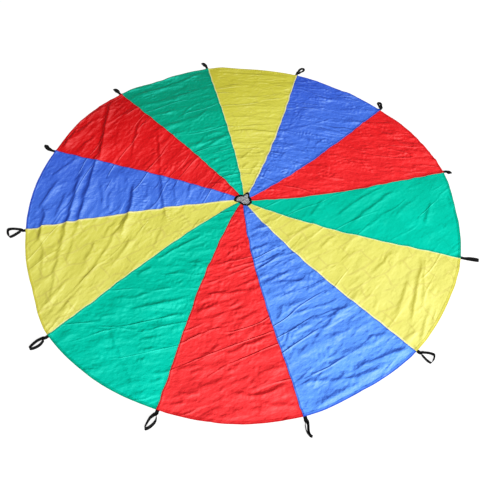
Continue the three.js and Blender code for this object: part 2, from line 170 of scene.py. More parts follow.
# One side of a strap's section, from edge to edge: across and up as for the tape
STRAP_SIDE = [(-1, 0.0), (-0.985, 0.32), (-0.95, 0.47), (-0.8, 0.5), (-0.4, 0.5), (0, 0.5),
              (0.4, 0.5), (0.8, 0.5), (0.95, 0.47), (0.985, 0.32)]

# Stitching: the pitch and length of a stitch and the radius of its thread, and the sewn box on
# each handle's end, from and to along the strap and half its width
STITCH = {"Pitch": 0.0046, "Length": 0.0034, "Radius": 0.0003}
TAPE_STITCH = {"Pitch": 0.0036, "Length": 0.0026, "Radius": 0.00028}
TACK = (TAIL_END + 0.0045, -0.0075, 0.0088)

# The camera, as fitted to the photograph; its picture is 500 by 500
CAMERA_PLACE = (0.070, -2.492, 3.053)
CAMERA_TILT = 33.16
CAMERA_ROLL = 2.27
LENS = 33.516
SENSOR = 36
PICTURE = 500

# The floor and the light: where it comes from over the floor, and each lamp's place, aim, size and
# power
FLOOR_HALF = 14
FLOOR_LEVEL = -0.0006
LIGHT_WAY = (0.74, -0.67)
KEY_LAMP = ((5.9, -6.5, 5.7), (0, 0, 0), 1.9, 1180)
OVERHEAD_LAMP = ((-0.4, -1.4, 6.0), (0, -0.6, 0), 1.8, 66)

# Wrinkles: each panel's main direction of its ridges, and how strong they are
RIDGE_DIRECTIONS = [4, -12, -6, 40, 50, 32, 22, 12, 62, 72, 62, 22]
RIDGE_STRENGTHS = [0.6, 1.25, 1.1, 0.26, 0.4, 1.2, 1.1, 0.8, 0.5, 0.75, 0.8, 0.85]
PACKING_SHARES = [0.5, 0.3, 0.3, 0.6, 1.0, 0.3, 0.2, 0.4, 1.0, 0.25, 0.2, 0.45]
GRID = 1024
GRID_REACH = 2.0
FOLD_REACH = 0.22  # how far from its line a fold is drawn
FOLD_PITCH = 0.02  # of the points along a fold's line
FOLD_END = 0.03  # how far a fold runs on beyond its line
FOLD_CREST = 0.003  # how round a crest is
# A fold's steep side, its lit side near the crest and its lit side farther out: the width of the
# lowest fold and its growth with a fold's height
FOLD_WIDTHS = [(0.008, 0.40), (0.012, 0.8), (0.030, 3.2)]

# The folds left in the cloth: height in mm, then places along it in the picture, across and down
FOLDS = [
    (27, 98, 152, 93, 177, 87, 195, 81, 217, 76, 236), (9, 78, 155, 73, 163, 62, 170, 52, 178),
    (24, 88, 169, 80, 178, 76, 193, 73, 206, 67, 226, 63, 244), (9, 101, 179, 104, 198, 102, 210),
    (25, 134, 180, 134, 197, 129, 216, 120, 238), (15, 160, 168, 163, 194, 165, 211, 168, 224),
    (12, 61, 179, 49, 194, 38, 210), (20, 43, 206, 46, 217, 42, 231, 40, 244),
    (8, 122, 172, 130, 182, 124, 196), (8, 68, 192, 60, 208, 55, 222),
    (7, 70, 180, 58, 186, 50, 196), (6, 112, 190, 108, 205, 112, 216), (6, 150, 186, 146, 202),
    (7, 178, 176, 174, 194, 178, 206), (6, 192, 182, 188, 200),
    (26, 113, 98, 106, 126, 103, 145, 99, 166), (14, 110, 105, 97, 112, 84, 122),
    (9, 104, 116, 90, 124, 78, 136), (10, 97, 135, 85, 146, 80, 155), (9, 89, 140, 76, 154),
    (12, 81, 125, 69, 141, 66, 149), (8, 72, 138, 62, 150),
    (8, 143, 117, 136, 133, 133, 153, 130, 164), (9, 159, 130, 160, 152, 161, 174),
    (5, 122, 128, 116, 140, 118, 152), (6, 166, 172, 175, 163, 185, 155),
    (6, 175, 168, 182, 160, 191, 153), (6, 180, 173, 187, 166, 193, 159),
    (6, 195, 171, 205, 167, 213, 177), (7, 207, 186, 217, 183, 230, 188), (5, 168, 150, 176, 146),
    (5, 148, 140, 158, 136), (11, 130, 97, 160, 90, 185, 81, 204, 73),
    (9, 122, 94, 151, 85, 182, 75), (6, 150, 106, 172, 101, 186, 93), (6, 178, 119, 192, 106),
    (5, 160, 116, 176, 110), (7, 196, 136, 216, 132, 230, 134), (6, 196, 147, 206, 137),
    (8, 194, 153, 210, 145, 230, 135), (6, 206, 164, 221, 158), (5, 175, 135, 186, 131),
    (6, 212, 176, 222, 168, 232, 166), (5, 186, 124, 200, 118, 208, 108), (5, 218, 150, 230, 146),
    (7, 229, 132, 252, 131, 278, 133), (4, 224, 118, 250, 117, 280, 120),
    (4, 223, 109, 252, 106, 284, 108), (6, 241, 160, 256, 146), (6, 255, 146, 262, 155),
    (5, 249, 176, 260, 160), (6, 212, 74, 236, 74, 272, 76, 292, 80),
    (5, 219, 88, 247, 84, 273, 93), (4, 226, 99, 256, 97, 286, 100), (4, 243, 168, 250, 163),
    (7, 312, 84, 335, 96, 364, 113), (5, 325, 94, 346, 108),
    (5, 278, 134, 288, 130, 306, 127, 322, 122), (5, 305, 130, 311, 140, 305, 152),
    (4, 298, 139, 303, 146), (5, 269, 154, 282, 153, 289, 161, 291, 169),
    (5, 272, 167, 284, 170, 294, 169), (4, 300, 112, 318, 108), (4, 276, 178, 286, 180),
    (4, 312, 150, 320, 142, 328, 138), (9, 362, 126, 382, 133, 405, 147, 419, 162),
    (6, 368, 122, 384, 131), (7, 320, 154, 340, 157, 357, 166), (4, 338, 142, 352, 146),
    (4, 300, 172, 312, 175), (4, 360, 160, 368, 170), (4, 316, 166, 330, 168),
    (5, 385, 122, 400, 134, 418, 144), (7, 334, 219, 360, 199, 384, 187),
    (8, 348, 227, 374, 205, 397, 189), (5, 310, 218, 324, 199), (8, 425, 226, 431, 200),
    (5, 449, 196, 453, 209), (4, 392, 222, 404, 208, 420, 196), (4, 368, 228, 384, 214),
    (4, 290, 212, 300, 203), (4, 406, 190, 424, 182), (11, 411, 326, 417, 288, 424, 255),
    (7, 424, 308, 424, 275, 426, 257), (8, 419, 347, 425, 325, 431, 304),
    (7, 371, 277, 384, 262, 395, 249), (6, 320, 248, 337, 235), (6, 285, 239, 294, 234, 317, 224),
    (5, 260, 219, 277, 212), (4, 342, 262, 356, 250), (5, 396, 318, 404, 296, 410, 276),
    (4, 346, 290, 362, 276), (10, 258, 271, 281, 254, 294, 249),
    (12, 261, 286, 293, 270, 312, 265), (9, 261, 287, 285, 282, 320, 281),
    (8, 303, 295, 314, 286, 329, 279), (10, 289, 316, 315, 308, 330, 305, 341, 294),
    (8, 287, 337, 294, 329, 312, 324), (10, 309, 345, 326, 329, 335, 315, 349, 306),
    (8, 347, 327, 353, 318, 367, 309), (10, 338, 352, 353, 338, 360, 326, 379, 319),
    (19, 351, 375, 363, 365, 380, 358, 396, 352, 416, 346),
    (13, 301, 384, 320, 381, 338, 381, 350, 370), (9, 324, 388, 341, 380, 365, 375, 389, 365),
    (7, 298, 356, 311, 342), (8, 250, 253, 269, 243), (6, 252, 238, 262, 232),
    (7, 330, 366, 346, 357), (6, 318, 400, 340, 394, 360, 384), (6, 272, 300, 286, 292),
    (6, 366, 340, 384, 334, 398, 336), (7, 278, 322, 284, 304), (6, 320, 360, 334, 346),
    (12, 217, 353, 235, 353, 248, 345, 273, 335), (9, 197, 362, 211, 353, 221, 345),
    (9, 199, 387, 218, 384, 237, 374), (6, 223, 374, 240, 367),
    (14, 227, 394, 245, 396, 263, 396, 273, 391, 293, 383), (8, 161, 406, 187, 404, 203, 400),
    (10, 256, 403, 274, 407, 291, 405, 301, 409), (7, 217, 395, 229, 407, 242, 413),
    (7, 261, 372, 287, 367), (5, 210, 326, 217, 318), (10, 204, 296, 235, 293, 262, 288),
    (7, 194, 317, 205, 310, 220, 304), (6, 252, 327, 274, 324), (7, 190, 374, 206, 370),
    (6, 238, 321, 266, 309), (5, 214, 280, 230, 274, 248, 272), (6, 180, 394, 200, 394),
    (6, 222, 250, 240, 246), (7, 246, 360, 262, 352), (6, 186, 340, 204, 334),
    (6, 228, 338, 244, 330), (6, 230, 385, 250, 378), (5, 220, 264, 246, 258),
    (10, 157, 261, 182, 246, 207, 234), (6, 172, 259, 192, 265, 205, 261), (8, 136, 277, 154, 266),
    (8, 111, 297, 132, 300, 157, 290, 177, 289), (12, 129, 311, 146, 307, 170, 302, 193, 298),
    (6, 99, 308, 113, 307, 130, 310), (8, 156, 322, 170, 316, 189, 315),
    (6, 110, 323, 116, 344, 125, 367, 136, 391), (6, 139, 341, 163, 337), (5, 154, 328, 159, 336),
    (6, 88, 328, 109, 331), (6, 136, 361, 162, 357), (6, 168, 330, 182, 326),
    (7, 164, 276, 186, 272, 198, 276), (6, 188, 250, 206, 246), (6, 150, 384, 164, 378),
    (6, 130, 326, 146, 322), (7, 100, 318, 118, 314), (6, 142, 352, 160, 346),
    (9, 129, 216, 115, 235, 100, 260, 78, 290), (8, 96, 240, 90, 255, 84, 262),
    (10, 64, 234, 61, 250, 55, 270), (7, 133, 236, 124, 252, 107, 271),
    (8, 38, 232, 45, 250, 41, 278), (7, 51, 307, 54, 277, 58, 259), (7, 60, 316, 72, 297, 86, 284),
    (5, 155, 246, 162, 230), (6, 76, 228, 72, 248, 66, 266), (5, 110, 226, 104, 240),
    (5, 46, 290, 50, 310),
]


# Plan of the canopy

def eased(x):
    """0 to 1, with level ends."""
    x = np.clip(x, 0, 1)
    return x * x * (3 - 2 * x)


def polar(radius, angle):
    return radius * np.cos(np.radians(angle)), radius * np.sin(np.radians(angle))


def angle_of(x, y):
    return np.degrees(np.arctan2(y, x))


def table_of(*columns):
    """Arrays or single values as the columns of one table."""
    return np.stack(np.broadcast_arrays(*columns), -1).reshape(-1, len(columns))


def run_along(points):
    """The length of a line from its start to each of its points."""
    return np.concatenate([[0], np.cumsum(np.linalg.norm(np.diff(points, axis=0), axis=1))])


def directions(points):
    """The unit direction of a line at each of its points."""
    ahead = np.gradient(points, axis=0)
    return ahead / np.linalg.norm(ahead, axis=1)[:, None]


def evenly(points, pitch):
    """The same line with points at an even pitch."""
    run = run_along(points)
    wanted = np.linspace(0, run[-1], max(8, int(run[-1] / pitch)))
    return table_of(*(np.interp(wanted, run, values) for values in points.T))


def around(table, place):
    """A closed table read at any place round it, eased from each entry to the next."""
    table = np.asarray(table, float)
    whole = np.floor(place).astype(int)
    ease = (1 - np.cos(np.pi * (place - whole))) / 2
    return table[whole % len(table)] * (1 - ease) + table[(whole + 1) % len(table)] * ease


def rim_radius(angle):
    return CANOPY_RADIUS * around(RIM_SHARES, (FIRST_SEAM_ANGLE - angle) / PANEL_ANGLE * 2)


def ring_radius(angle):
    return RING_RADIUS * around(RING_SHARES, (FIRST_SEAM_ANGLE - RING_LAG - angle) / PANEL_ANGLE)


def seam_angle(seam, radius):
    index = seam % PANEL_COUNT
    inward = np.maximum(0, 1 - np.asarray(radius) / CANOPY_RADIUS)
    even = FIRST_SEAM_ANGLE - PANEL_ANGLE * seam
    return even + SEAM_TURNS[index] - SEAM_SWIRLS[index] * inward**SWIRL_POWER


def true_radius(nominal, angle):
    """Where a place at a nominal radius lies, from the crumpled ring out to the uneven rim."""
    ring = ring_radius(angle) + 0.0015
    rim = rim_radius(angle)
    first = ROUND_SHARE * CANOPY_RADIUS
    inner = ring + (nominal - RING_RADIUS) * 0.97
    share = (nominal - RING_RADIUS) / (first - RING_RADIUS)
    middle = ring + (rim * ROUND_SHARE - ring) * share
    outer = np.where(nominal > CANOPY_RADIUS - EVEN_RIM, rim - (CANOPY_RADIUS - nominal),
                     nominal * (rim - EVEN_RIM) / (CANOPY_RADIUS - EVEN_RIM))
    outer = np.where(nominal < first, middle, outer)
    return np.where(nominal < RING_RADIUS, inner, outer)


# How high the cloth lies

CAMERA_TURN = Matrix.Rotation(math.radians(CAMERA_TILT), 3, "X") \
    @ Matrix.Rotation(math.radians(CAMERA_ROLL), 3, "Z")
grid_step = 2 * GRID_REACH / GRID
grid_axis = (np.arange(GRID) + 0.5) * grid_step - GRID_REACH
grid_x, grid_y = np.meshgrid(grid_axis, grid_axis)


def waves(seed, length, spread=0.45, along=None, fan=None):
    """A field of waves of about one length, and with ridges along a direction if one is given."""
    spectrum = np.fft.rfft2(np.random.default_rng(seed).standard_normal((GRID, GRID)))
    ky = np.fft.fftfreq(GRID, grid_step)[:, None]
    kx = np.fft.rfftfreq(GRID, grid_step)[None, :]
    often = np.maximum(np.hypot(kx, ky), 1e-6)
    band = np.exp(-((np.log2(often * length) / spread) ** 2))
    if along is not None:
        off = np.arctan2(ky, kx) - math.radians(along) - math.pi / 2
        band = band * np.exp(-((np.sin(off) / fan) ** 2))
    field = np.fft.irfft2(spectrum * band, s=(GRID, GRID))
    return field / field.std()


def sway_field(seed, far, length):
    return far * waves(seed, length)


def panel_place():
    """Which panel each point of the grid lies in, with the way across it as the fraction."""
    inward = np.maximum(0, 1 - np.hypot(grid_x, grid_y) / CANOPY_RADIUS)
    angle = FIRST_SEAM_ANGLE - MEAN_SWIRL * inward**SWIRL_POWER - angle_of(grid_x, grid_y)
    return (angle / PANEL_ANGLE) % PANEL_COUNT


def by_panel(values, place):
    """A value of each panel, turning into its neighbour's over the seams."""
    values = np.asarray(values, float)
    shifted = place - 0.5
    whole = np.floor(shifted).astype(int)
    share = eased((shifted - whole - 0.5) / 0.36 + 0.5)
    return values[whole % PANEL_COUNT] * (1 - share) + values[(whole + 1) % PANEL_COUNT] * share


def panel_ridges(seed, length, place, fan):
    """Waves whose ridges follow each panel's own direction."""
    total, power = np.zeros((2, GRID, GRID))
    for step in range(6):
        direction = 30 * step
        off = [math.radians(direction - own) for own in RIDGE_DIRECTIONS]
        weight = by_panel([math.exp(-((math.sin(a) / 0.4) ** 2)) for a in off], place)
        total += weight * waves(seed + step, length, 0.4, direction, fan)
        power += weight**2
    return total / np.sqrt(power)


def ridged(field, round_over):
    """Crisp crests along the lines where a field passes through zero, about 0 on average."""
    return 0.8 - np.sqrt(field**2 + round_over**2)


def floor_point(across, down):
    """The place on the floor that a place in the picture shows."""
    focus = LENS / SENSOR * PICTURE
    ray = CAMERA_TURN @ Vector(((across - PICTURE / 2) / focus, (PICTURE / 2 - down) / focus, -1))
    reach = -CAMERA_PLACE[2] / ray.z
    return CAMERA_PLACE[0] + ray.x * reach, CAMERA_PLACE[1] + ray.y * reach


def smooth_line(points):
    """A line through points, eased at its bends."""
    points = np.array(points)
    for _ in range(3):
        cut = np.stack([points[:-1] * 0.75 + points[1:] * 0.25,
                        points[:-1] * 0.25 + points[1:] * 0.75], 1).reshape(-1, 2)
        points = np.concatenate([points[:1], cut, points[-1:]])
    return evenly(points, FOLD_PITCH)


def fold_field(warp_x, warp_y):
    """The folds of the table: steep on the side away from the light, running out on the other."""
    height = np.zeros((GRID, GRID))
    for tall, *places in FOLDS:
        tall /= 1000
        line = smooth_line([floor_point(*place) for place in zip(places[::2], places[1::2])])
        ahead = directions(line)
        side = 1 if np.sum(ahead @ np.array([-LIGHT_WAY[1], LIGHT_WAY[0]])) > 0 else -1
        low = (line.min(0) - FOLD_REACH + GRID_REACH) / grid_step
        high = (line.max(0) + FOLD_REACH + GRID_REACH) / grid_step + 1
        (i0, j0), (i1, j1) = np.clip([low, high], 0, GRID).astype(int)
        window = np.s_[j0:j1, i0:i1]
        px = grid_x[window] + warp_x[window]
        py = grid_y[window] + warp_y[window]
        away = (px[..., None] - line[:, 0]) ** 2 + (py[..., None] - line[:, 1]) ** 2
        nearest = away.argmin(-1)
        dx, dy = px - line[nearest, 0], py - line[nearest, 1]
        across = side * (dx * ahead[nearest, 1] - dy * ahead[nearest, 0])
        beyond = dx * ahead[nearest, 0] + dy * ahead[nearest, 1]
        share = nearest / (len(line) - 1)
        ends = eased(share / 0.25 + 0.1) * eased((1 - share) / 0.25 + 0.1)
        ends = ends * np.exp(-((beyond / FOLD_END) ** 2))
        steep, near, wide = (least + growth * tall for least, growth in FOLD_WIDTHS)
        reach = np.sqrt(across**2 + FOLD_CREST**2) - FOLD_CREST
        lit = 0.55 * np.exp(-reach / near) + 0.45 * np.exp(-reach / wide)
        rise = np.where(across > 0, lit, np.exp(-reach / steep))
        dip = 0.22 * np.exp(-(((across + 2.4 * steep) / (1.3 * steep)) ** 2))
        room = 1 - 0.5 * eased(height[window] / 0.016)
        height[window] += 0.85 * tall * ends * (rise - dip) * room
    return height


def cloth_field():
    """The height of the cloth's underside all over the floor."""
    place = panel_place()
    strength = by_panel(RIDGE_STRENGTHS, place)
    patches = 0.55 + 0.6 * eased(0.5 + 0.4 * waves(11, 0.4))
    fine_patches = 0.2 + 1.1 * eased(0.4 + 0.5 * waves(12, 0.22))
    height = SWELL[0] * waves(13, SWELL[1], 0.6)
    # Each kind of ridge: its height, where it is strong, its waves and how round its crests are
    for tall, where, field, round_over in (
            (0.0040, patches, panel_ridges(20, 0.34, place, 0.28), 0.06),
            (0.0017, patches, panel_ridges(30, 0.17, place, 0.38), 0.03),
            (-0.0016, patches, panel_ridges(60, 0.21, place, 0.5), 0.06),
            (0.0013, fine_patches, panel_ridges(50, 0.088, place, 0.6), 0.03),
            (-0.0012, fine_patches, waves(41, 0.060, 0.4), 0.08)):
        height += tall * strength * where * ridged(field, round_over)
    height += fold_field(*(sway_field(seed, *FOLD_SWAY) for seed in (15, 16)))
    height += MEAN_LIFT
    height = (height + np.sqrt(height**2 + FLOOR_ROUNDING**2)) / 2
    pressed = HIGH_FOLD + HIGH_FOLD_ROOM * np.tanh((height - HIGH_FOLD) / HIGH_FOLD_ROOM)
    return np.where(height > HIGH_FOLD, pressed, height)


def read_field(field, x, y):
    """A field at any points, straight between its own."""
    across, up = (np.clip((v + GRID_REACH) / grid_step - 0.5, 0, GRID - 1.001) for v in (x, y))
    i, j = across.astype(int), up.astype(int)
    u, v = across - i, up - j
    low = field[j, i] * (1 - u) + field[j, i + 1] * u
    high = field[j + 1, i] * (1 - u) + field[j + 1, i + 1] * u
    return low * (1 - v) + high * v


cloth_lift = cloth_field()
sway_fields = [sway_field(seed, *SEAM_SWAY) for seed in (17, 18)]

joints = {joint["name"]: joint for joint in frame["record"]["behaviour"]["joints"]}


def handle_frame(number):
    """A handle's hinge point on the floor and the way out from it."""
    flop = joints[f"handle_{number}_flop"]
    out = Vector((-flop["axis"][1], flop["axis"][0], 0)).normalized()
    return Vector((flop["pos_m"][0], flop["pos_m"][1], 0)), out


handle_frames = [handle_frame(number) for number in range(1, PANEL_COUNT + 1)]


def from_handle(number, along, aside):
    """The place on the floor so far out from a handle's hinge and so far to the left."""
    point, out = handle_frames[number - 1]
    return point.x + along * out.x - aside * out.y, point.y + along * out.y + aside * out.x


def over_tails(x, y, margin=0.0):
    """1 where the cloth lies over the sewn end of a handle, running out to 0 around it."""
    mask = np.zeros_like(x)
    for point, out in handle_frames:
        along = (x - point.x) * out.x + (y - point.y) * out.y
        aside = np.abs((x - point.x) * out.y - (y - point.y) * out.x)
        inward = eased((along - TAIL_END + TAIL_ROOM[0] + margin) / TAIL_SLOPE[0])
        wide = eased((WEBBING_WIDTH / 2 + TAIL_ROOM[1] + margin - aside) / TAIL_SLOPE[1])
        mask = np.maximum(mask, inward * wide)
    return mask


def lower_at_hinges(x, y):
    """The share of its height that the cloth keeps. It lies lower close to a handle's hinge, which
    leaves room for a handle that leans back."""
    room, slope, share = HINGE_ROOM
    away = np.min([np.hypot(x - point.x, y - point.y) for point, _ in handle_frames], 0)
    return 1 - share * (1 - eased((away - room) / slope))


def pucker(x, y):
    """The lifted edge of the crumpled centre."""
    px, py, height, reach = PUCKER
    return height * np.exp(-(((x - px) ** 2 + (y - py) ** 2) / reach**2))


def warped(x, y):
    """A place on the cloth carried a little aside, so that no seam runs quite straight."""
    radius, rim = np.hypot(x, y), rim_radius(angle_of(x, y))
    start, run = SWAY_START
    calm, share = CALM_RIM
    free = (1 - over_tails(x, y, TAIL_MARGIN)) * eased((radius - start) / run)
    free = free * (share + (1 - share) * eased((rim - radius) / calm))
    return (x + free * read_field(sway_fields[0], x, y),
            y + free * read_field(sway_fields[1], x, y))


def underside(x, y):
    """The height of the cloth's underside, over the floor, the handles' ends and the ring."""
    height = read_field(cloth_lift, x, y) * lower_at_hinges(x, y)
    tails = over_tails(x, y)
    room, slope = RING_SLOPE
    ring = 1 - eased((np.hypot(x, y) - ring_radius(angle_of(x, y)) - room) / slope)
    height = height * (1 - tails) + TAIL_LIFT * tails
    return height * (1 - ring) + RING_LIFT * ring + pucker(x, y)


# Meshes

def mesh_of(name, points, faces, map_name, places):
    """A smooth mesh from arrays of points and faces, one array for each number of corners, with a
    map that gives each point its place in metres."""
    corners = np.concatenate([np.ravel(group) for group in faces]).astype(np.int32)
    sizes = np.concatenate([np.full(*np.shape(group)) for group in faces])
    starts = np.concatenate([[0], np.cumsum(sizes)[:-1]]).astype(np.int32)
    mesh = bpy.data.meshes.new(name)
    mesh.vertices.add(len(points))
    mesh.vertices.foreach_set("co", np.asarray(points, np.float32).ravel())
    mesh.loops.add(len(corners))
    mesh.loops.foreach_set("vertex_index", corners)
    mesh.polygons.add(len(sizes))
    mesh.polygons.foreach_set("loop_start", starts)
    mesh.update(calc_edges=True)
    mesh.shade_smooth()
    layer = mesh.uv_layers.new(name=map_name)
    layer.data.foreach_set("uv", np.asarray(places, np.float32)[corners].ravel())
    return mesh


def placed(name, data):
    """An object in the scene, at the origin and unturned."""
    thing = bpy.data.objects.new(name, data)
    bpy.context.scene.collection.objects.link(thing)
    return thing


def piece_of(mesh, material):
    mesh.materials.clear()
    mesh.materials.append(material)
    return placed(mesh.name, mesh)


# Cloth panels

def row_places():
    """Nominal radii of a panel's rows from the centre to where the rim's round edge starts."""
    rows = np.linspace(FIRST_ROW, CANOPY_RADIUS - LAST_ROW, ROWS)
    return np.concatenate([rows, CANOPY_RADIUS - np.array(HEM_ROWS)])


def column_angles(panel, nominal):
    """The angles of a panel's columns in one row, from its left seam to its lap on the right."""
    width = nominal * math.radians(PANEL_ANGLE)
    lap, ramp, shoulder = (
        math.degrees(min(length, width * share) / nominal)
        for length, share in ((SEAM_LAP, 0.2), (SEAM_RAMP, 0.08), (SHOULDER, 0.3)))
    left, right = (float(seam_angle(seam, nominal)) for seam in (panel, panel + 1))
    laps = lap * np.linspace(0, 1, LAP_COLUMNS)
    free = np.linspace(left - shoulder, right + shoulder, BAYS + 1)
    return np.concatenate([left - laps, free, [right + ramp], right - laps])


def panel_layers(panel):
    """The top and bottom points of a panel, with the plan place of each."""
    nominal = row_places()
    angle = np.array([column_angles(panel, row) for row in nominal])
    columns = angle.shape[1]
    nominal = np.repeat(nominal[:, None], columns, axis=1)
    hemmed = eased((nominal - (CANOPY_RADIUS - HEM_WIDTH - HEM_STEP / 2)) / HEM_STEP)
    thick = CLOTH + (HEM - CLOTH) * hemmed
    lapped = np.arange(columns) >= columns - LAP_COLUMNS
    x, y = warped(*polar(true_radius(nominal, angle), angle))
    low = underside(x, y) + lapped * (thick + GAP)
    return nominal, angle, x, y, low, low + thick + lapped * CLOTH


def round_off(x, y, low, high):
    """Adds the round edge of the rim and of the lap: two more rows and two more columns."""
    sheet = np.array([x, y, (low + high) / 2, (high - low) / 2])
    for axis in (1, 2):
        last, before = (np.take(sheet, [k], axis) for k in (-1, -2))
        ahead = last[:2] - before[:2]
        ahead = ahead / np.hypot(*ahead)
        for turn in (45, 0):
            edge = last.copy()
            edge[:2] += ahead * last[3] * math.cos(math.radians(turn))
            edge[3] *= math.sin(math.radians(turn))
            sheet = np.concatenate([sheet, edge], axis)
    x, y, middle, half = sheet
    return x, y, middle - half, middle + half


def panel_mesh(panel, name):
    nominal, angle, *layers = panel_layers(panel)
    x, y, low, high = round_off(*layers)
    nominal, angle = (np.pad(v, ((0, 2), (0, 2)), mode="edge") for v in (nominal, angle))
    columns = x.shape[1]
    upper = np.arange(x.size).reshape(x.shape)
    lower = upper + x.size
    lower[-1, :] = upper[-1, :]
    lower[:, -1] = upper[:, -1]

    def cells(index):
        return table_of(index[:-1, :-1], index[:-1, 1:], index[1:, 1:], index[1:, :-1])

    left = table_of(lower[1:-1, 0], lower[:-2, 0], upper[:-2, 0], upper[1:-1, 0])
    inner = table_of(lower[0, :-2], lower[0, 1:-1], upper[0, 1:-1], upper[0, :-2])
    corners = [(upper[-1, 0], lower[-2, 0], upper[-2, 0]),
               (lower[0, -2], upper[0, -1], upper[0, -2])]
    quads = np.concatenate([cells(upper), cells(lower)[:, [0, 3, 2, 1]], left, inner])
    points = np.concatenate([table_of(x, y, z) for z in (high, low)])
    used, inverse = np.unique(np.concatenate([quads.ravel(), np.ravel(corners)]),
                              return_inverse=True)
    faces = [inverse[:quads.size].reshape(-1, 4), inverse[quads.size:].reshape(-1, 3)]
    middle = (seam_angle(panel, nominal) + seam_angle(panel + 1, nominal)) / 2
    places = table_of(np.radians(middle - angle) * nominal, nominal)
    mesh = mesh_of(name, points[used], faces, "cloth", np.tile(places, (2, 1))[used])
    column = np.arange(columns)
    # The seam band, which gets the seam tone: partly doubled cloth, and painted light and shade, a
    # highlight on the yellow seams and shade beside the seams of the other cloths
    lapped = (column >= columns - LAP_COLUMNS - 2) | (column == UNDER_COLUMNS - 1) \
        | (column == UNDER_COLUMNS)
    # Where painted shade darkens the hem: all over it, and more along its outer edge
    hem_shade = (0.7 * eased((nominal - (CANOPY_RADIUS - HEM_WIDTH)) / 0.002)
                + 0.3 * eased((nominal - (CANOPY_RADIUS - HEM_SHADE_INSET)) / 0.004))
    marks = {"seam_glint_and_shade": lapped, "hem_shade": hem_shade, "packing": PACKING_SHARES[panel],
             "ridge_turn": math.radians(-RIDGE_DIRECTIONS[panel]),
             "crinkled": 0.35 + 0.7 * RIDGE_STRENGTHS[panel]}
    for key, values in marks.items():
        values = np.tile((values + 0 * nominal).ravel(), 2)[used]
        mesh.attributes.new(key, "FLOAT", "POINT").data.foreach_set(
            "value", values.astype(np.float32))
    return mesh


# Lines for stitches

def panel_stitch_lines(panel):
    """The rows of stitches on one panel: two on its lap and two on its hem."""
    nominal, _, x, y, _, high = panel_layers(panel)
    top = np.stack([x, y, high + STITCH_LIFT], -1)
    nominal = nominal[:, 0]
    start = int(np.searchsorted(nominal, RING_RADIUS + 0.004))
    hem_rows = [np.argmin(np.abs(nominal - (CANOPY_RADIUS - inset))) for inset in HEM_STITCHES]
    return [top[start:, column] for column in (-3, -2)] \
        + [top[row, UNDER_COLUMNS - 1:] for row in hem_rows]


def tack_lines(number):
    """The sewn box with its cross, on the hem over a handle's end. The panel on the one side of
    the seam lies on the next, so the rows climb a step where they cross it."""
    near, far, half = TACK
    box = [(near, -half), (far, -half), (far, half), (near, half), (near, -half)]
    lines = []
    for path in (box, [box[0], box[2]], [box[3], box[1]]):
        along, across = evenly(np.array(path), 0.0015).T
        x, y = from_handle(number, along, across)
        step = (HEM + GAP + CLOTH) * np.clip(1 - across / SEAM_RAMP, 0, 1)
        lines.append(table_of(x, y, underside(x, y) + HEM + step + TACK_LIFT))
    return lines


# Node trees

class Nodes:
    """A node tree, with short ways to add nodes to it."""

    def __init__(self, tree):
        self.tree = tree

    def feed(self, node, inputs):
        """Sets a node's inputs to values, or joins them to other nodes' outputs."""
        for key, value in inputs.items():
            if isinstance(value, bpy.types.NodeSocket):
                self.tree.links.new(value, node.inputs[key])
            else:
                node.inputs[key].default_value = value

    def put(self, kind, inputs=None, **settings):
        """Adds a node, sets it and feeds it."""
        node = self.tree.nodes.new(kind)
        for key, value in settings.items():
            setattr(node, key, value)
        self.feed(node, inputs or {})
        return node

    def calc(self, kind, *values):
        return self.put("ShaderNodeMath", dict(enumerate(values)), operation=kind).outputs[0]

    def times(self, *values):
        return self.calc("MULTIPLY", *values)

    def plus(self, *values):
        return self.calc("ADD", *values)

    def over(self, *values):
        return self.calc("DIVIDE", *values)

    def vector(self, kind, *values):
        node = self.put("ShaderNodeVectorMath", dict(enumerate(values)), operation=kind)
        return node.outputs["Value" if kind == "DOT_PRODUCT" else "Vector"]

    def noise(self, place, scale, detail=2.0, roughness=0.5, distortion=0.0, **settings):
        return self.put("ShaderNodeTexNoise", {
            "Vector": place, "Scale": scale, "Detail": detail, "Roughness": roughness,
            "Distortion": distortion}, **settings).outputs["Fac"]

    def spread(self, value, low, high, top=1.0, bottom=0.0):
        """A value spread from bottom to top between two of its own values."""
        return self.put("ShaderNodeMapRange", {"Value": value, "From Min": low, "From Max": high,
                                               "To Min": bottom, "To Max": top}).outputs[0]

    def mark(self, name, low=0.0, high=1.0, top=1.0):
        """A mesh's own mark, spread from 0 to the given top between two values."""
        read = self.put("ShaderNodeAttribute", attribute_name=name).outputs["Fac"]
        return self.spread(read, low, high, top)

    def mix(self, share, first, second):
        return self.put("ShaderNodeMix", {0: share, 6: first, 7: second},
                        data_type="RGBA").outputs[2]

    def bump(self, height, strength, distance):
        return self.put("ShaderNodeBump", {"Height": height, "Strength": strength,
                                           "Distance": distance}).outputs[0]

    def split(self, vector):
        return self.put("ShaderNodeSeparateXYZ", {0: vector}).outputs

    def ridge(self, count):
        """A sine that turns over at each whole count."""
        return self.calc("SINE", self.times(count, math.pi))


def new_group(kind, name, inputs, outputs):
    """A group of nodes with named inputs, each given by its first value or else by its kind."""
    tree = bpy.data.node_groups.new(name, kind)
    for label, start in inputs.items():
        socket = {float: "NodeSocketFloat", tuple: "NodeSocketVector"}.get(type(start), start)
        made = tree.interface.new_socket(label, in_out="INPUT", socket_type=socket)
        if socket != start:
            made.default_value = start
    for label, socket in outputs.items():
        tree.interface.new_socket(label, in_out="OUTPUT", socket_type=socket)
    nodes = Nodes(tree)
    return nodes, nodes.put("NodeGroupInput").outputs, nodes.put("NodeGroupOutput")


# Trees that repeat things along lines

def growth_group(name, **sizes):
    """The start of a tree that grows things along a mesh's edges, which come as a curve."""
    shape = {"Geometry": "NodeSocketGeometry"}
    n, given, result = new_group("GeometryNodeTree", name, {
        **shape, **sizes, "Finish": "NodeSocketMaterial"}, shape)
    curve = n.put("GeometryNodeMeshToCurve", {"Mesh": given["Geometry"]}).outputs[0]
    return n, given, result, curve


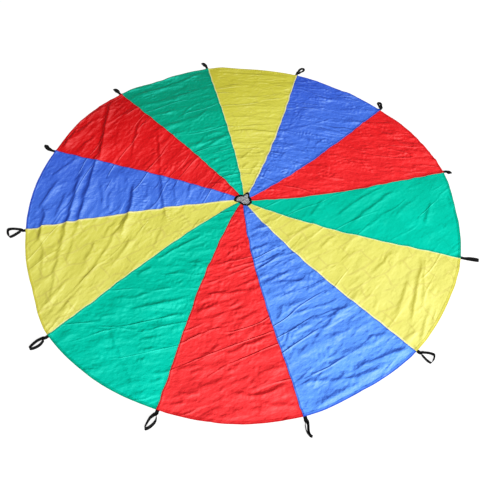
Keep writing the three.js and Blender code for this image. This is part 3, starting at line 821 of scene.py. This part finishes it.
def finish_tree(n, shape, finish, result):
    """The end of such a tree: real meshes in one material."""
    real = n.put("GeometryNodeRealizeInstances", {"Geometry": shape}).outputs[0]
    dressed = n.put("GeometryNodeSetMaterial", {"Geometry": real, "Material": finish})
    n.feed(result, {0: dressed.outputs[0]})
    return n.tree


def stitch_tree():
    """Short threads laid end to end along every line."""
    n, given, result, curve = growth_group("stitch_rows", **STITCH)
    even = n.put("GeometryNodeResampleCurve", {"Curve": curve, "Length": given["Pitch"]},
                 mode="LENGTH")
    thread = n.put("GeometryNodeMeshCylinder",
                   {"Vertices": 5, "Side Segments": 2, "Radius": given["Radius"],
                    "Depth": given["Length"]}, fill_type="TRIANGLE_FAN")
    tangent = n.put("GeometryNodeInputTangent").outputs[0]
    turn = n.put("FunctionNodeAlignRotationToVector", {"Vector": tangent}, axis="Z")
    sewn = n.put("GeometryNodeInstanceOnPoints",
                 {"Points": even.outputs[0], "Instance": thread.outputs["Mesh"],
                  "Rotation": turn.outputs[0]})
    return finish_tree(n, sewn.outputs[0], given["Finish"], result)


def strand_tree():
    """A round strand along every edge."""
    n, given, result, curve = growth_group("net_strands", Radius=0.0007)
    ring = n.put("GeometryNodeCurvePrimitiveCircle",
                 {"Resolution": 6, "Radius": given["Radius"]}, mode="RADIUS")
    tube = n.put("GeometryNodeCurveToMesh",
                 {"Curve": curve, "Profile Curve": ring.outputs[0], "Fill Caps": True})
    return finish_tree(n, tube.outputs[0], given["Finish"], result)


def grow(name, lines, tree, material, **sizes):
    """Runs a tree on bare edges along lines of points and keeps the result as a plain mesh."""
    points, edges = [], []
    for line in lines:
        first = len(points)
        points.extend(tuple(map(float, p)) for p in line)
        edges.extend((k, k + 1) for k in range(first, len(points) - 1))
    bare = bpy.data.meshes.new(f"{name}_lines")
    bare.from_pydata(points, edges, [])
    source = placed(f"{name}_lines", bare)
    modifier = source.modifiers.new("growth", "NODES")
    modifier.node_group = tree
    named = {"Finish": material, **sizes}
    for item in tree.interface.items_tree:
        if item.in_out == "INPUT" and item.name in named:
            modifier[item.identifier] = named[item.name]
    bpy.context.view_layer.update()
    graph = bpy.context.evaluated_depsgraph_get()
    mesh = bpy.data.meshes.new_from_object(source.evaluated_get(graph))
    mesh.name = name
    bpy.data.objects.remove(source)
    mesh.shade_smooth()
    return piece_of(mesh, material)


# Materials

ORIGIN = (0.0, 0.0, 0.0)


def surface_group(name, inputs, *outputs):
    return new_group("ShaderNodeTree", name, inputs, dict.fromkeys(outputs, "NodeSocketFloat"))


def weave_group():
    """Crossing threads on a map in metres, as a height and as a small change of tone."""
    n, given, result = surface_group("weave", {"Map": ORIGIN, "Thread": 0.0004}, "Height", "Tone")
    across, along = (n.ridge(n.over(way, given["Thread"]))
                     for way in n.split(given["Map"])[:2])
    n.feed(result, {"Height": n.times(across, along), "Tone": n.noise(given["Map"], 900.0, 1.0)})
    return n.tree


def crinkle_group():
    """Small sharp crinkles of crushed cloth, as a height."""
    n, given, result = surface_group("crinkles", {"Place": ORIGIN, "Size": 0.05}, "Height")
    scale = n.over(1.0, given["Size"])
    sharp = n.noise(given["Place"], scale, 3.0, 0.55, 0.35, noise_type="RIDGED_MULTIFRACTAL",
                    normalize=True)
    soft = n.noise(given["Place"], n.times(scale, 1.7), 3.0, 0.6)
    n.feed(result, {"Height": n.plus(n.times(sharp, 0.6), soft)})
    return n.tree


def crease_group():
    """Long thin creases, as a height: the lines where a drawn-out noise passes its middle."""
    n, given, result = surface_group("long_creases", {"Place": ORIGIN, "Size": 0.1}, "Height")
    scale = n.over(1.0, given["Size"])
    field = n.noise(given["Place"], scale, 1.5, 0.45)
    line = n.spread(n.calc("ABSOLUTE", n.calc("SUBTRACT", field, 0.5)), 0.0, 0.032, 0.0, 1.0)
    keep = n.spread(n.noise(given["Place"], n.times(scale, 0.8)), 0.44, 0.56)
    n.feed(result, {"Height": n.times(line, keep)})
    return n.tree


def packing_group():
    """The faint net of slanting creases that a folded canopy keeps, as a mask."""
    n, given, result = surface_group(
        "packing_creases", {"Place": ORIGIN, "Spacing": 0.11, "Width": 0.004}, "Mask")
    place, spacing = given["Place"], given["Spacing"]
    sway = n.noise(place, 4.0).node.outputs["Color"]
    swayed = n.vector("ADD", place, n.vector("MULTIPLY", sway, (0.13, 0.13, 0.0)))
    turned = n.put("ShaderNodeMapping", {"Vector": swayed, "Rotation": (0, 0, math.radians(-33))})
    along, up, _ = n.split(turned.outputs[0])
    rows = n.over(up, spacing)
    stagger = n.times(n.calc("FLOOR", rows), 0.5)
    steps = n.over(along, n.times(spacing, 1.7))
    masks = []
    for count, pitch in ((rows, 1.0), (n.plus(steps, stagger), 1.7)):
        middle = n.calc("ABSOLUTE", n.calc("SUBTRACT", n.calc("FRACT", count), 0.5))
        length = n.times(n.times(n.calc("SUBTRACT", 0.5, middle), pitch), spacing)
        masks.append(n.spread(length, 0.0, given["Width"], 0.0, 1.0))
    keep = n.spread(n.noise(place, 6.0), 0.36, 0.5)
    n.feed(result, {"Mask": n.times(n.calc("MAXIMUM", *masks), keep)})
    return n.tree


def ribs_group():
    """Ribbed weave of webbing and tape on a map in metres, as a height and a tone."""
    n, given, result = surface_group(
        "ribbed_weave", {"Map": ORIGIN, "Rib": 0.0021, "Pick": 0.0011}, "Height", "Tone")
    across, along, _ = n.split(given["Map"])
    ribs = n.over(across, given["Rib"])
    stagger = n.times(n.calc("FLOOR", ribs), 0.5)
    picks = n.plus(n.over(along, given["Pick"]), stagger)
    rib, pick = (n.calc("ABSOLUTE", n.ridge(count)) for count in (ribs, picks))
    n.feed(result, {"Height": n.times(rib, n.plus(n.times(pick, 0.6), 0.4)),
                    "Tone": n.noise(given["Map"], 240.0, 4.0, 0.65)})
    return n.tree


weave_tree = weave_group()
crinkle_tree = crinkle_group()
packing_tree = packing_group()
crease_tree = crease_group()
ribs_tree = ribs_group()


def bare_material(name):
    material = bpy.data.materials.new(name)
    material.use_nodes = True
    return material, Nodes(material.node_tree), material.node_tree.nodes["Principled BSDF"]


def srgb(*colour):
    return (*(((v / 255 + 0.055) / 1.055) ** 2.4 if v / 255 > 0.04045 else v / 255 / 12.92
              for v in colour), 1)


def cloth_material(name, seam_glint_and_shade_share, *colours):
    """Thin woven polyester: fine weave, crinkles, and tones with painted light and shade."""
    far_tone, near_tone_with_painted_light, pale, deep, edge, painted_crease_shade = (srgb(*colour) for colour in colours)
    material, n, shader = bare_material(name)

    def add(group, **inputs):
        return n.put("ShaderNodeGroup", inputs, node_tree=group).outputs

    place = n.put("ShaderNodeTexCoord").outputs["Object"]
    threads = n.put("ShaderNodeUVMap", uv_map="cloth").outputs[0]
    weave = add(weave_tree, Map=threads, Thread=0.00042)
    turn = n.put("ShaderNodeAttribute", attribute_name="ridge_turn").outputs["Fac"]
    turned = n.put("ShaderNodeVectorRotate", {"Vector": place, "Angle": turn},
                   rotation_type="Z_AXIS").outputs[0]
    drawn, stretched = (n.vector("MULTIPLY", turned, (share, 1, 1)) for share in (0.62, 0.20))
    crinkles = add(crinkle_tree, Place=drawn, Size=0.050)["Height"]
    creases = add(crease_tree, Place=stretched, Size=0.15)["Height"]
    packing = add(packing_tree, Place=place, Spacing=0.125, Width=0.012)["Mask"]
    packed = n.times(packing, n.mark("packing"))
    total = n.times(crinkles, n.mark("crinkled", 0, 2, 0.0105))
    for height, depth in ((weave["Height"], 0.00002), (packed, 0.0004),
                          (creases, n.mark("crinkled", 0, 2, 0.0070))):
        total = n.plus(total, n.times(height, depth))
    normal = n.bump(total, 1.0, 1.0)
    # How far the bumped surface faces the light, for the painted highlights and shade below
    painted_light_facing = n.vector("DOT_PRODUCT", normal, (*LIGHT_WAY, 0))

    # Painted light: paler towards the near side, where the lamp's sheen falls
    painted_light_nearness = n.plus(n.vector("DOT_PRODUCT", place, (0.14, -0.31, 0)), 0.45)
    cloud = n.noise(place, 3.4, 5.0, 0.55)
    tone = n.mix(painted_light_nearness, far_tone, near_tone_with_painted_light)
    for share, colour in (
            # Painted shade towards the far side
            (n.spread(painted_light_nearness, 0.12, -0.08, 0.5), deep),
            (n.spread(cloud, 0.35, 0.7, 0.22), deep),
            # Painted highlight on slopes that face the light, painted shade on slopes that face
            # away
            (n.spread(painted_light_facing, 0.04, 0.40, 0.45), pale),
            (n.spread(painted_light_facing, -0.03, -0.36, 0.65), deep),
            # Painted shade in the packing creases
            (n.times(packed, 0.38), painted_crease_shade),
            # Seam tone: on the yellow partly doubled cloth and partly a painted highlight, on the
            # others painted shade
            (n.mark("seam_glint_and_shade", 0.1, 0.9, seam_glint_and_shade_share), edge),
            # Painted shade along the hem, deepest at the rim
            (n.mark("hem_shade", 0.1, 0.7, 0.38), deep),
            (n.mark("hem_shade", 0.72, 1.0, 0.8), deep),
            (n.spread(weave["Tone"], 0.35, 0.65, 0.10), deep)):
        tone = n.mix(share, tone, colour)
    n.feed(shader, {"Base Color": tone, "Normal": normal, "Specular IOR Level": 0.03,
                    "Roughness": n.spread(cloud, 0.3, 0.7, 0.50, 0.40)})
    return material


def ribbed_material(name, rib, pick, depth, roughness):
    """Woven webbing or tape, a little paler where it is rubbed."""
    material, n, shader = bare_material(name)
    colour, worn = srgb(4, 4, 5), srgb(14, 14, 15)
    threads = n.put("ShaderNodeUVMap", uv_map="weave").outputs[0]
    weave = n.put("ShaderNodeGroup", {"Map": threads, "Rib": rib, "Pick": pick},
                  node_tree=ribs_tree).outputs
    tone = n.mix(weave["Height"], colour, worn)
    n.feed(shader, {"Base Color": n.mix(n.spread(weave["Tone"], 0.35, 0.75, 0.5), tone, worn),
                    "Roughness": n.spread(weave["Tone"], 0, 1, roughness + 0.1, roughness - 0.12),
                    "Normal": n.bump(weave["Height"], 0.7, depth), "Specular IOR Level": 0.08})
    return material


def thread_material(name, colour, deep):
    """Twisted sewing thread."""
    material, n, shader = bare_material(name)
    fibre = n.noise(n.put("ShaderNodeTexCoord").outputs["Object"], 1400.0)
    n.feed(shader, {"Base Color": n.mix(fibre, srgb(*colour), srgb(*deep)), "Roughness": 0.55,
                    "Normal": n.bump(fibre, 0.5, 0.0002), "Specular IOR Level": 0.2})
    return material


# Each cloth: how strongly its seam tone shows, then its own tone on the far side, its tone with
# painted light on the near side, a painted highlight on slopes facing the light, a deeper tone
# (painted shade on slopes facing away, towards the far side and on the hem, and random patches),
# its seam tone (on the yellow partly doubled cloth and partly a painted highlight, on the others
# painted shade), and the painted shade in its packing creases
CLOTH_TONES = {
    "yellow": (0.7, (230, 226, 82), (227, 224, 124), (241, 240, 178), (202, 192, 52),
               (248, 246, 190), (196, 178, 96)),
    "blue": (0.55, (66, 108, 236), (98, 160, 250), (160, 200, 252), (32, 64, 190),
             (38, 74, 180), (50, 94, 204)),
    "red": (0.5, (246, 22, 26), (250, 60, 64), (252, 116, 116), (184, 6, 12), (172, 16, 26),
            (214, 20, 26)),
    "green": (0.5, (1, 184, 144), (2, 212, 186), (60, 236, 214), (0, 138, 106), (1, 150, 122),
              (1, 172, 142)),
}
cloth_materials = {key: cloth_material(f"{key}_cloth", *tones)
                   for key, tones in CLOTH_TONES.items()}
webbing_material = ribbed_material("black_webbing", 0.0023, 0.0012, 0.0004, 0.72)
tape_material = ribbed_material("black_tape", 0.0013, 0.0009, 0.0002, 0.78)
black_thread_material = thread_material("black_thread", (34, 34, 37), (14, 14, 16))
net_material = thread_material("net_yarn", (66, 68, 72), (36, 37, 41))


# The canopy

stitches = stitch_tree()
for panel in range(PANEL_COUNT):
    colour = PANEL_COLOURS[panel % 4]
    cloth_panel = piece_of(panel_mesh(panel, f"cloth_panel_{panel + 1}"), cloth_materials[colour])
    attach(cloth_panel, "canopy")
    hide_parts(f"panel_{panel + 1}_{colour}")

for index, colour in enumerate(PANEL_COLOURS):
    lines = []
    for panel in range(index, PANEL_COUNT, 4):
        lines += panel_stitch_lines(panel) + tack_lines((panel + 1) % PANEL_COUNT + 1)
    _, tone, _, _, deep, *_ = CLOTH_TONES[colour]
    sewn = grow(f"{colour}_stitches", lines, stitches,
                thread_material(f"{colour}_thread", tone, deep), **STITCH)
    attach(sewn, "canopy")


# The centre

def tape_mesh(name, level, wide, phase):
    """A closed band round the centre, with rounded edges and a little unevenness."""
    angle = np.arange(TAPE_STEPS) * 360 / TAPE_STEPS
    wobble = sum(far * np.sin(np.radians(angle * often + times * phase))
                 for far, often, times in TAPE_WOBBLE)
    middle = ring_radius(angle) + wobble - wide / 2
    run = run_along(table_of(*polar(middle, angle)))
    side, up = np.array(TAPE_SECTION).T
    x, y = polar(middle[:, None] + side * wide / 2, angle[:, None])
    tall, often = TAPE_RIPPLE
    ripple = tall * np.sin(np.radians(angle * often + phase))[:, None] * side
    z = level + pucker(x, y) + ripple + TAPE_THICKNESS * (up + 0.5)
    index = np.arange(x.size).reshape(x.shape)
    ahead, beside = np.roll(index, -1, 0), np.roll(index, -1, 1)
    quads = table_of(index, beside, np.roll(ahead, -1, 1), ahead)
    places = table_of(side * wide / 2, run[:, None])
    return mesh_of(name, table_of(x, y, z), [quads], "weave", places)


def ring_line(inset):
    """A closed line on the top tape, at a distance in from its outer edge."""
    angle = np.linspace(0, 360, 241)
    x, y = polar(ring_radius(angle) - inset, angle)
    return table_of(x, y, TOP_TAPE_LEVEL + TAPE_THICKNESS + pucker(x, y))


def net_lines():
    """The six-sided mesh of the net, cut off under the tape."""
    reach = int(NET_REACH / NET_SIDE) + 2
    cells = np.arange(-reach, reach)
    i, j, edge, end = np.meshgrid(cells, cells, np.arange(3), np.arange(2), indexing="ij")
    x, y = polar(NET_SIDE, 60 * (edge + end))
    x = x + NET_SIDE * 1.5 * i
    y = y + NET_SIDE * math.sqrt(3) * (j + 0.5 * (i % 2))
    kept = np.hypot(x, y) < ring_radius(angle_of(x, y)) - TAPE_WIDTH + NET_TUCK
    return np.stack([x, y, NET_LEVEL + pucker(x, y)], -1)[kept.all(-1)]


top_tape = piece_of(tape_mesh("top_tape", TOP_TAPE_LEVEL, TAPE_WIDTH, 20), tape_material)
low_tape = piece_of(tape_mesh("low_tape", 0.0, TAPE_WIDTH - LOW_TAPE_INSET, 75), tape_material)
net = grow("net_centre", net_lines(), strand_tree(), net_material, Radius=NET_YARN)
tape_stitches = grow("tape_stitches", [ring_line(inset) for inset in TAPE_STITCHES],
                     stitches, black_thread_material, **TAPE_STITCH)
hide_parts("centre_tape_top")
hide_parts("centre_tape_bottom")
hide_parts("centre_net")
for part, slot in ((top_tape, "binding_tape"), (low_tape, "binding_tape"), (net, "net"),
                   (tape_stitches, "binding_tape")):
    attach(part, "canopy")


# Handles

def curve_points(a, b, c, d, count):
    t = np.linspace(0, 1, count)[:, None]
    a, b, c, d = (np.array(p, float) for p in (a, b, c, d))
    return (1 - t) ** 3 * a + 3 * (1 - t) ** 2 * t * b + 3 * (1 - t) * t**2 * c + t**3 * d


def half_loop(length, stem, half_width, wide_share, straight, tip_round):
    """The middle line of one leg of a loop, from its root to the tip."""
    wide = half_width + WEBBING / 2
    tip = length - WEBBING / 2
    widest = stem + (tip - stem) * wide_share
    side = curve_points((stem, LAYER),
                        (stem + (widest - stem) * 0.3, LAYER + (wide - LAYER) * 0.36 * straight),
                        (widest + (stem - widest) * 0.35, wide), (widest, wide), 26)
    end = curve_points((widest, wide), (widest + (tip - widest) * (0.25 + 0.35 * tip_round), wide),
                       (tip, wide * (0.05 + 0.6 * tip_round)), (tip, 0), 26)
    return np.concatenate([[[min(0, stem) - 0.0005, LAYER]], side, end[1:]])


def laid_together(leg, share, aside, middle_lean, tip_lean):
    """Both legs of a closed handle, one on the other but not quite in line, rolled over."""
    roll = np.radians(np.interp(share, [0, 0.3, 0.7, 1], [90, middle_lean, middle_lean, tip_lean]))
    slip = aside * eased(share / 0.35) * eased((1 - share) / 0.2)
    up, over = np.cos(roll), np.sin(roll)
    base = STACK + WEBBING_WIDTH / 2 * up + (leg[:, 1] - leg[0, 1]) * over
    return [table_of(leg[:, 0], side * (slip - leg[:, 1] * up), base + side * leg[:, 1] * over,
                     0, over, up) for side in (1, -1)]


def laid_apart(leg, share, aside, middle_lean, tip_lean, tip_over, way):
    """The two legs of an open handle, stacked at the root and side by side where they part."""
    parted = np.maximum.accumulate(eased((leg[:, 1] - PARTING[0]) / PARTING[1]))
    wanted = np.interp(share, [0, 0.6, 1], [middle_lean, middle_lean, tip_lean])
    ahead = directions(leg)
    slip = aside * eased(share / 0.12) * (1 - parted)
    way = math.radians(way)
    legs = []
    for side in (1, -1):
        facing = side * ahead[:, 0] * math.sin(way) - ahead[:, 1] * math.cos(way)
        lean = np.radians(90 + (wanted + tip_over * facing - 90) * parted)
        up, over = np.cos(lean), np.sin(lean)
        stack = (STACK - WEBBING / 2 + side * LAYER) * (1 - parted)
        height = WEBBING / 2 + 0.0002 * parted + stack + WEBBING_WIDTH / 2 * up
        out = slip + leg[:, 1] * eased(0.25 + leg[:, 1] / 0.008)
        legs.append(table_of(leg[:, 0], side * out, height, -ahead[:, 1] * over,
                             side * ahead[:, 0] * over, up))
    return legs


def bend_sideways(rows, bend, power, length):
    """Bends a leg over the floor, evenly or more and more towards its tip."""
    run = np.linspace(0, length, 60)
    angle = math.radians(bend) * (power + 1) / 2 * (run / length) ** power
    middle = (angle[1:] + angle[:-1]) / 2
    x_of, y_of = (np.concatenate([[0], np.cumsum(way * run[1])])
                  for way in (np.cos(middle), np.sin(middle)))
    x, y, z, wx, wy, wz = rows.T
    here = np.interp(x, run, angle)
    cos, sin = np.cos(here), np.sin(here)
    return table_of(np.interp(x, run, x_of) + np.minimum(x, 0) - y * sin,
                    np.interp(x, run, y_of) + y * cos, z,
                    wx * cos - wy * sin, wx * sin + wy * cos, wz)


def strap_table(number):
    """The strap's middle line in the handle's own frame, straight out along +X, with the way
    across its width at each point. It runs from one sewn end round the loop to the other."""
    bend, power, length, stem, half_width, wide_share, straight, tip_round, together, *lie = \
        LOOPS[number - 1]
    leg = evenly(half_loop(length, stem, half_width, wide_share, straight, tip_round),
                 STRAP_PITCH)
    run = run_along(leg)
    share = run / run[-1]
    if together:
        legs = laid_together(leg, share, *lie)
    else:
        legs = laid_apart(leg, share, *lie, *TIPPED.get(number, (0, 0)))
    one, other = [bend_sideways(rows, bend, power, length) for rows in legs]
    root = NECK_LENGTH + LOOP_START
    one[:, 0] += root
    other[:, 0] += root
    reach = np.arange(TAIL_END, root + min(0, stem) - 0.0010, TAIL_PITCH)
    upper, lower = (table_of(reach, 0, STACK + side * LAYER, 0,
                             1 if side > 0 or together else -1, 0) for side in (1, -1))
    return np.concatenate([upper, one, other[::-1][1:], lower[::-1]]), len(reach)


def settle(table):
    """The same strap, smoothed a little so that no join of its parts shows."""
    for _ in range(8):
        inner = (table[:-2] + 2 * table[1:-1] + table[2:]) / 4
        table = np.concatenate([table[:1], inner, table[-1:]])
    table[:, 3:] /= np.linalg.norm(table[:, 3:], axis=1)[:, None]
    upright = np.abs(table[:, 5])
    table[:, 2] = np.maximum(table[:, 2], WEBBING_WIDTH / 2 * upright
                             + WEBBING / 2 * np.sqrt(1 - upright**2))
    return table


def strap_solid(table, start):
    """A closed strap along a table: its points, its faces with four and with three corners, and a
    map that starts at a given length."""
    middle, width = table[:, :3], table[:, 3:]
    normal = np.cross(directions(middle), width)
    normal /= np.linalg.norm(normal, axis=1)[:, None]
    section = np.array(STRAP_SIDE + [(-across, -up) for across, up in STRAP_SIDE])
    across, up = section[:, :1] * WEBBING_WIDTH / 2, section[:, 1:] * WEBBING
    points = middle[:, None] + width[:, None] * across + normal[:, None] * up
    count, size = points.shape[:2]
    run = start + run_along(middle)
    places = table_of(across[:, 0], run[:, None])
    index = np.arange(count * size).reshape(count, size)
    beside = np.roll(index, -1, 1)
    quads = [table_of(index[:-1], beside[:-1], beside[1:], index[1:])]
    triangles = []
    half = size // 2
    for row, turn in ((index[0], -1), (index[-1], 1)):
        quads.append([row[[half - k, half - k - 1, half + k + 1, half + k]][::turn]
                      for k in range(1, half - 1)])
        triangles += [row[corners][::turn] for corners in ([half, half - 1, half + 1], [1, 0, -1])]
    return points.reshape(-1, 3), np.concatenate(quads), np.array(triangles), places


def to_world(points, number, turn):
    """Bends a straight handle by its turn at the swing line, then sets it at its seam."""
    share = eased((points[:, 0] - (NECK_LENGTH - SWING_REACH)) / (2 * SWING_REACH))
    angle = math.radians(turn) * share
    x, y = points[:, 0] - NECK_LENGTH, points[:, 1]
    along = NECK_LENGTH + x * np.cos(angle) - y * np.sin(angle)
    aside = x * np.sin(angle) + y * np.cos(angle)
    return table_of(*from_handle(number, along, aside), points[:, 2])


def strap_piece(name, straps, number, turn):
    """One piece of webbing made of one or more straps, each a table and where its map starts."""
    points, quads, triangles, places = [], [], [], []
    count = 0
    for table, start in straps:
        own_points, own_quads, own_triangles, own_places = strap_solid(table, start)
        points.append(to_world(own_points, number, turn))
        quads.append(own_quads + count)
        triangles.append(own_triangles + count)
        places.append(own_places)
        count += len(own_points)
    points, quads, triangles, places = map(np.concatenate, (points, quads, triangles, places))
    return piece_of(mesh_of(name, points, [quads, triangles], "weave", places), webbing_material)


upper, middle, lower = MAP_STARTS
for number in range(1, PANEL_COUNT + 1):
    swing = joints[f"handle_{number}_swing"]
    turn = -sum(swing["range_deg"]) / 2
    table, tail = strap_table(number)
    table = settle(table)
    split = int(np.searchsorted(table[:tail, 0], NECK_SPLIT))
    mirror_split = len(table) - 1 - split
    root = strap_piece(f"handle_{number}_root",
                       [(table[:split + 1], upper), (table[mirror_split:], lower)], number, turn)
    loop = strap_piece(f"handle_{number}_hand_loop", [(table[split:mirror_split + 1], middle)],
                       number, turn)
    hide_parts(f"handle_{number}_tail", f"handle_{number}_neck")
    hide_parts(f"handle_{number}_loop")
    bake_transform(root)
    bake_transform(loop)


# Floor, light and camera

def seen_apart(owner, share, lit, seen, output):
    """Gives a material or a world one shader for what it lights and one for how it is seen."""
    owner.use_nodes = True
    n = Nodes(owner.node_tree)
    n.tree.nodes.clear()
    path = n.put("ShaderNodeLightPath").outputs
    direct = n.calc("MAXIMUM", path["Is Camera Ray"], path["Is Glossy Ray"])
    direct = n.calc("MAXIMUM", direct, path["Is Transmission Ray"])
    one, other = (n.put(*shader).outputs[0] for shader in (lit, seen))
    mixed = n.put("ShaderNodeMixShader", {0: n.times(direct, share), 1: one, 2: other})
    n.put(output, {0: mixed.outputs[0]})


def pale_floor():
    mesh = bpy.data.meshes.new("floor")
    corners = [(-1, -1), (1, -1), (1, 1), (-1, 1)]
    mesh.from_pydata([(x * FLOOR_HALF, y * FLOOR_HALF, FLOOR_LEVEL) for x, y in corners], [],
                     [(0, 1, 2, 3)])
    material = bpy.data.materials.new("pale_floor")
    seen_apart(material, 0.75, ("ShaderNodeBsdfDiffuse", {"Color": (0.86, 0.86, 0.86, 1)}),
               ("ShaderNodeEmission", {"Strength": 1.2}), "ShaderNodeOutputMaterial")
    piece_of(mesh, material)


def studio():
    world = bpy.data.worlds.new("studio")
    bpy.context.scene.world = world
    fill, seen = (("ShaderNodeBackground", {"Color": (1, 1, 1, 1), "Strength": strength})
                  for strength in (0.26, 1.0))
    seen_apart(world, 1.0, fill, seen, "ShaderNodeOutputWorld")


def soft_lamp(name, place, aim, size, power):
    lamp = bpy.data.lights.new(name, "AREA")
    lamp.shape = "SQUARE"
    lamp.size = size
    lamp.energy = power
    holder = placed(name, lamp)
    holder.location = place
    holder.rotation_euler = (Vector(aim) - Vector(place)).to_track_quat("-Z", "Y").to_euler()


def camera():
    lens = bpy.data.cameras.new("camera")
    lens.lens = LENS
    lens.sensor_width = SENSOR
    lens.clip_end = 100
    holder = placed("camera", lens)
    holder.matrix_world = Matrix.Translation(CAMERA_PLACE) @ CAMERA_TURN.to_4x4()
    bpy.context.scene.camera = holder


pale_floor()
studio()
soft_lamp("key", *KEY_LAMP)
soft_lamp("overhead", *OVERHEAD_LAMP)
camera()
bpy.context.scene.view_settings.view_transform = "Standard"
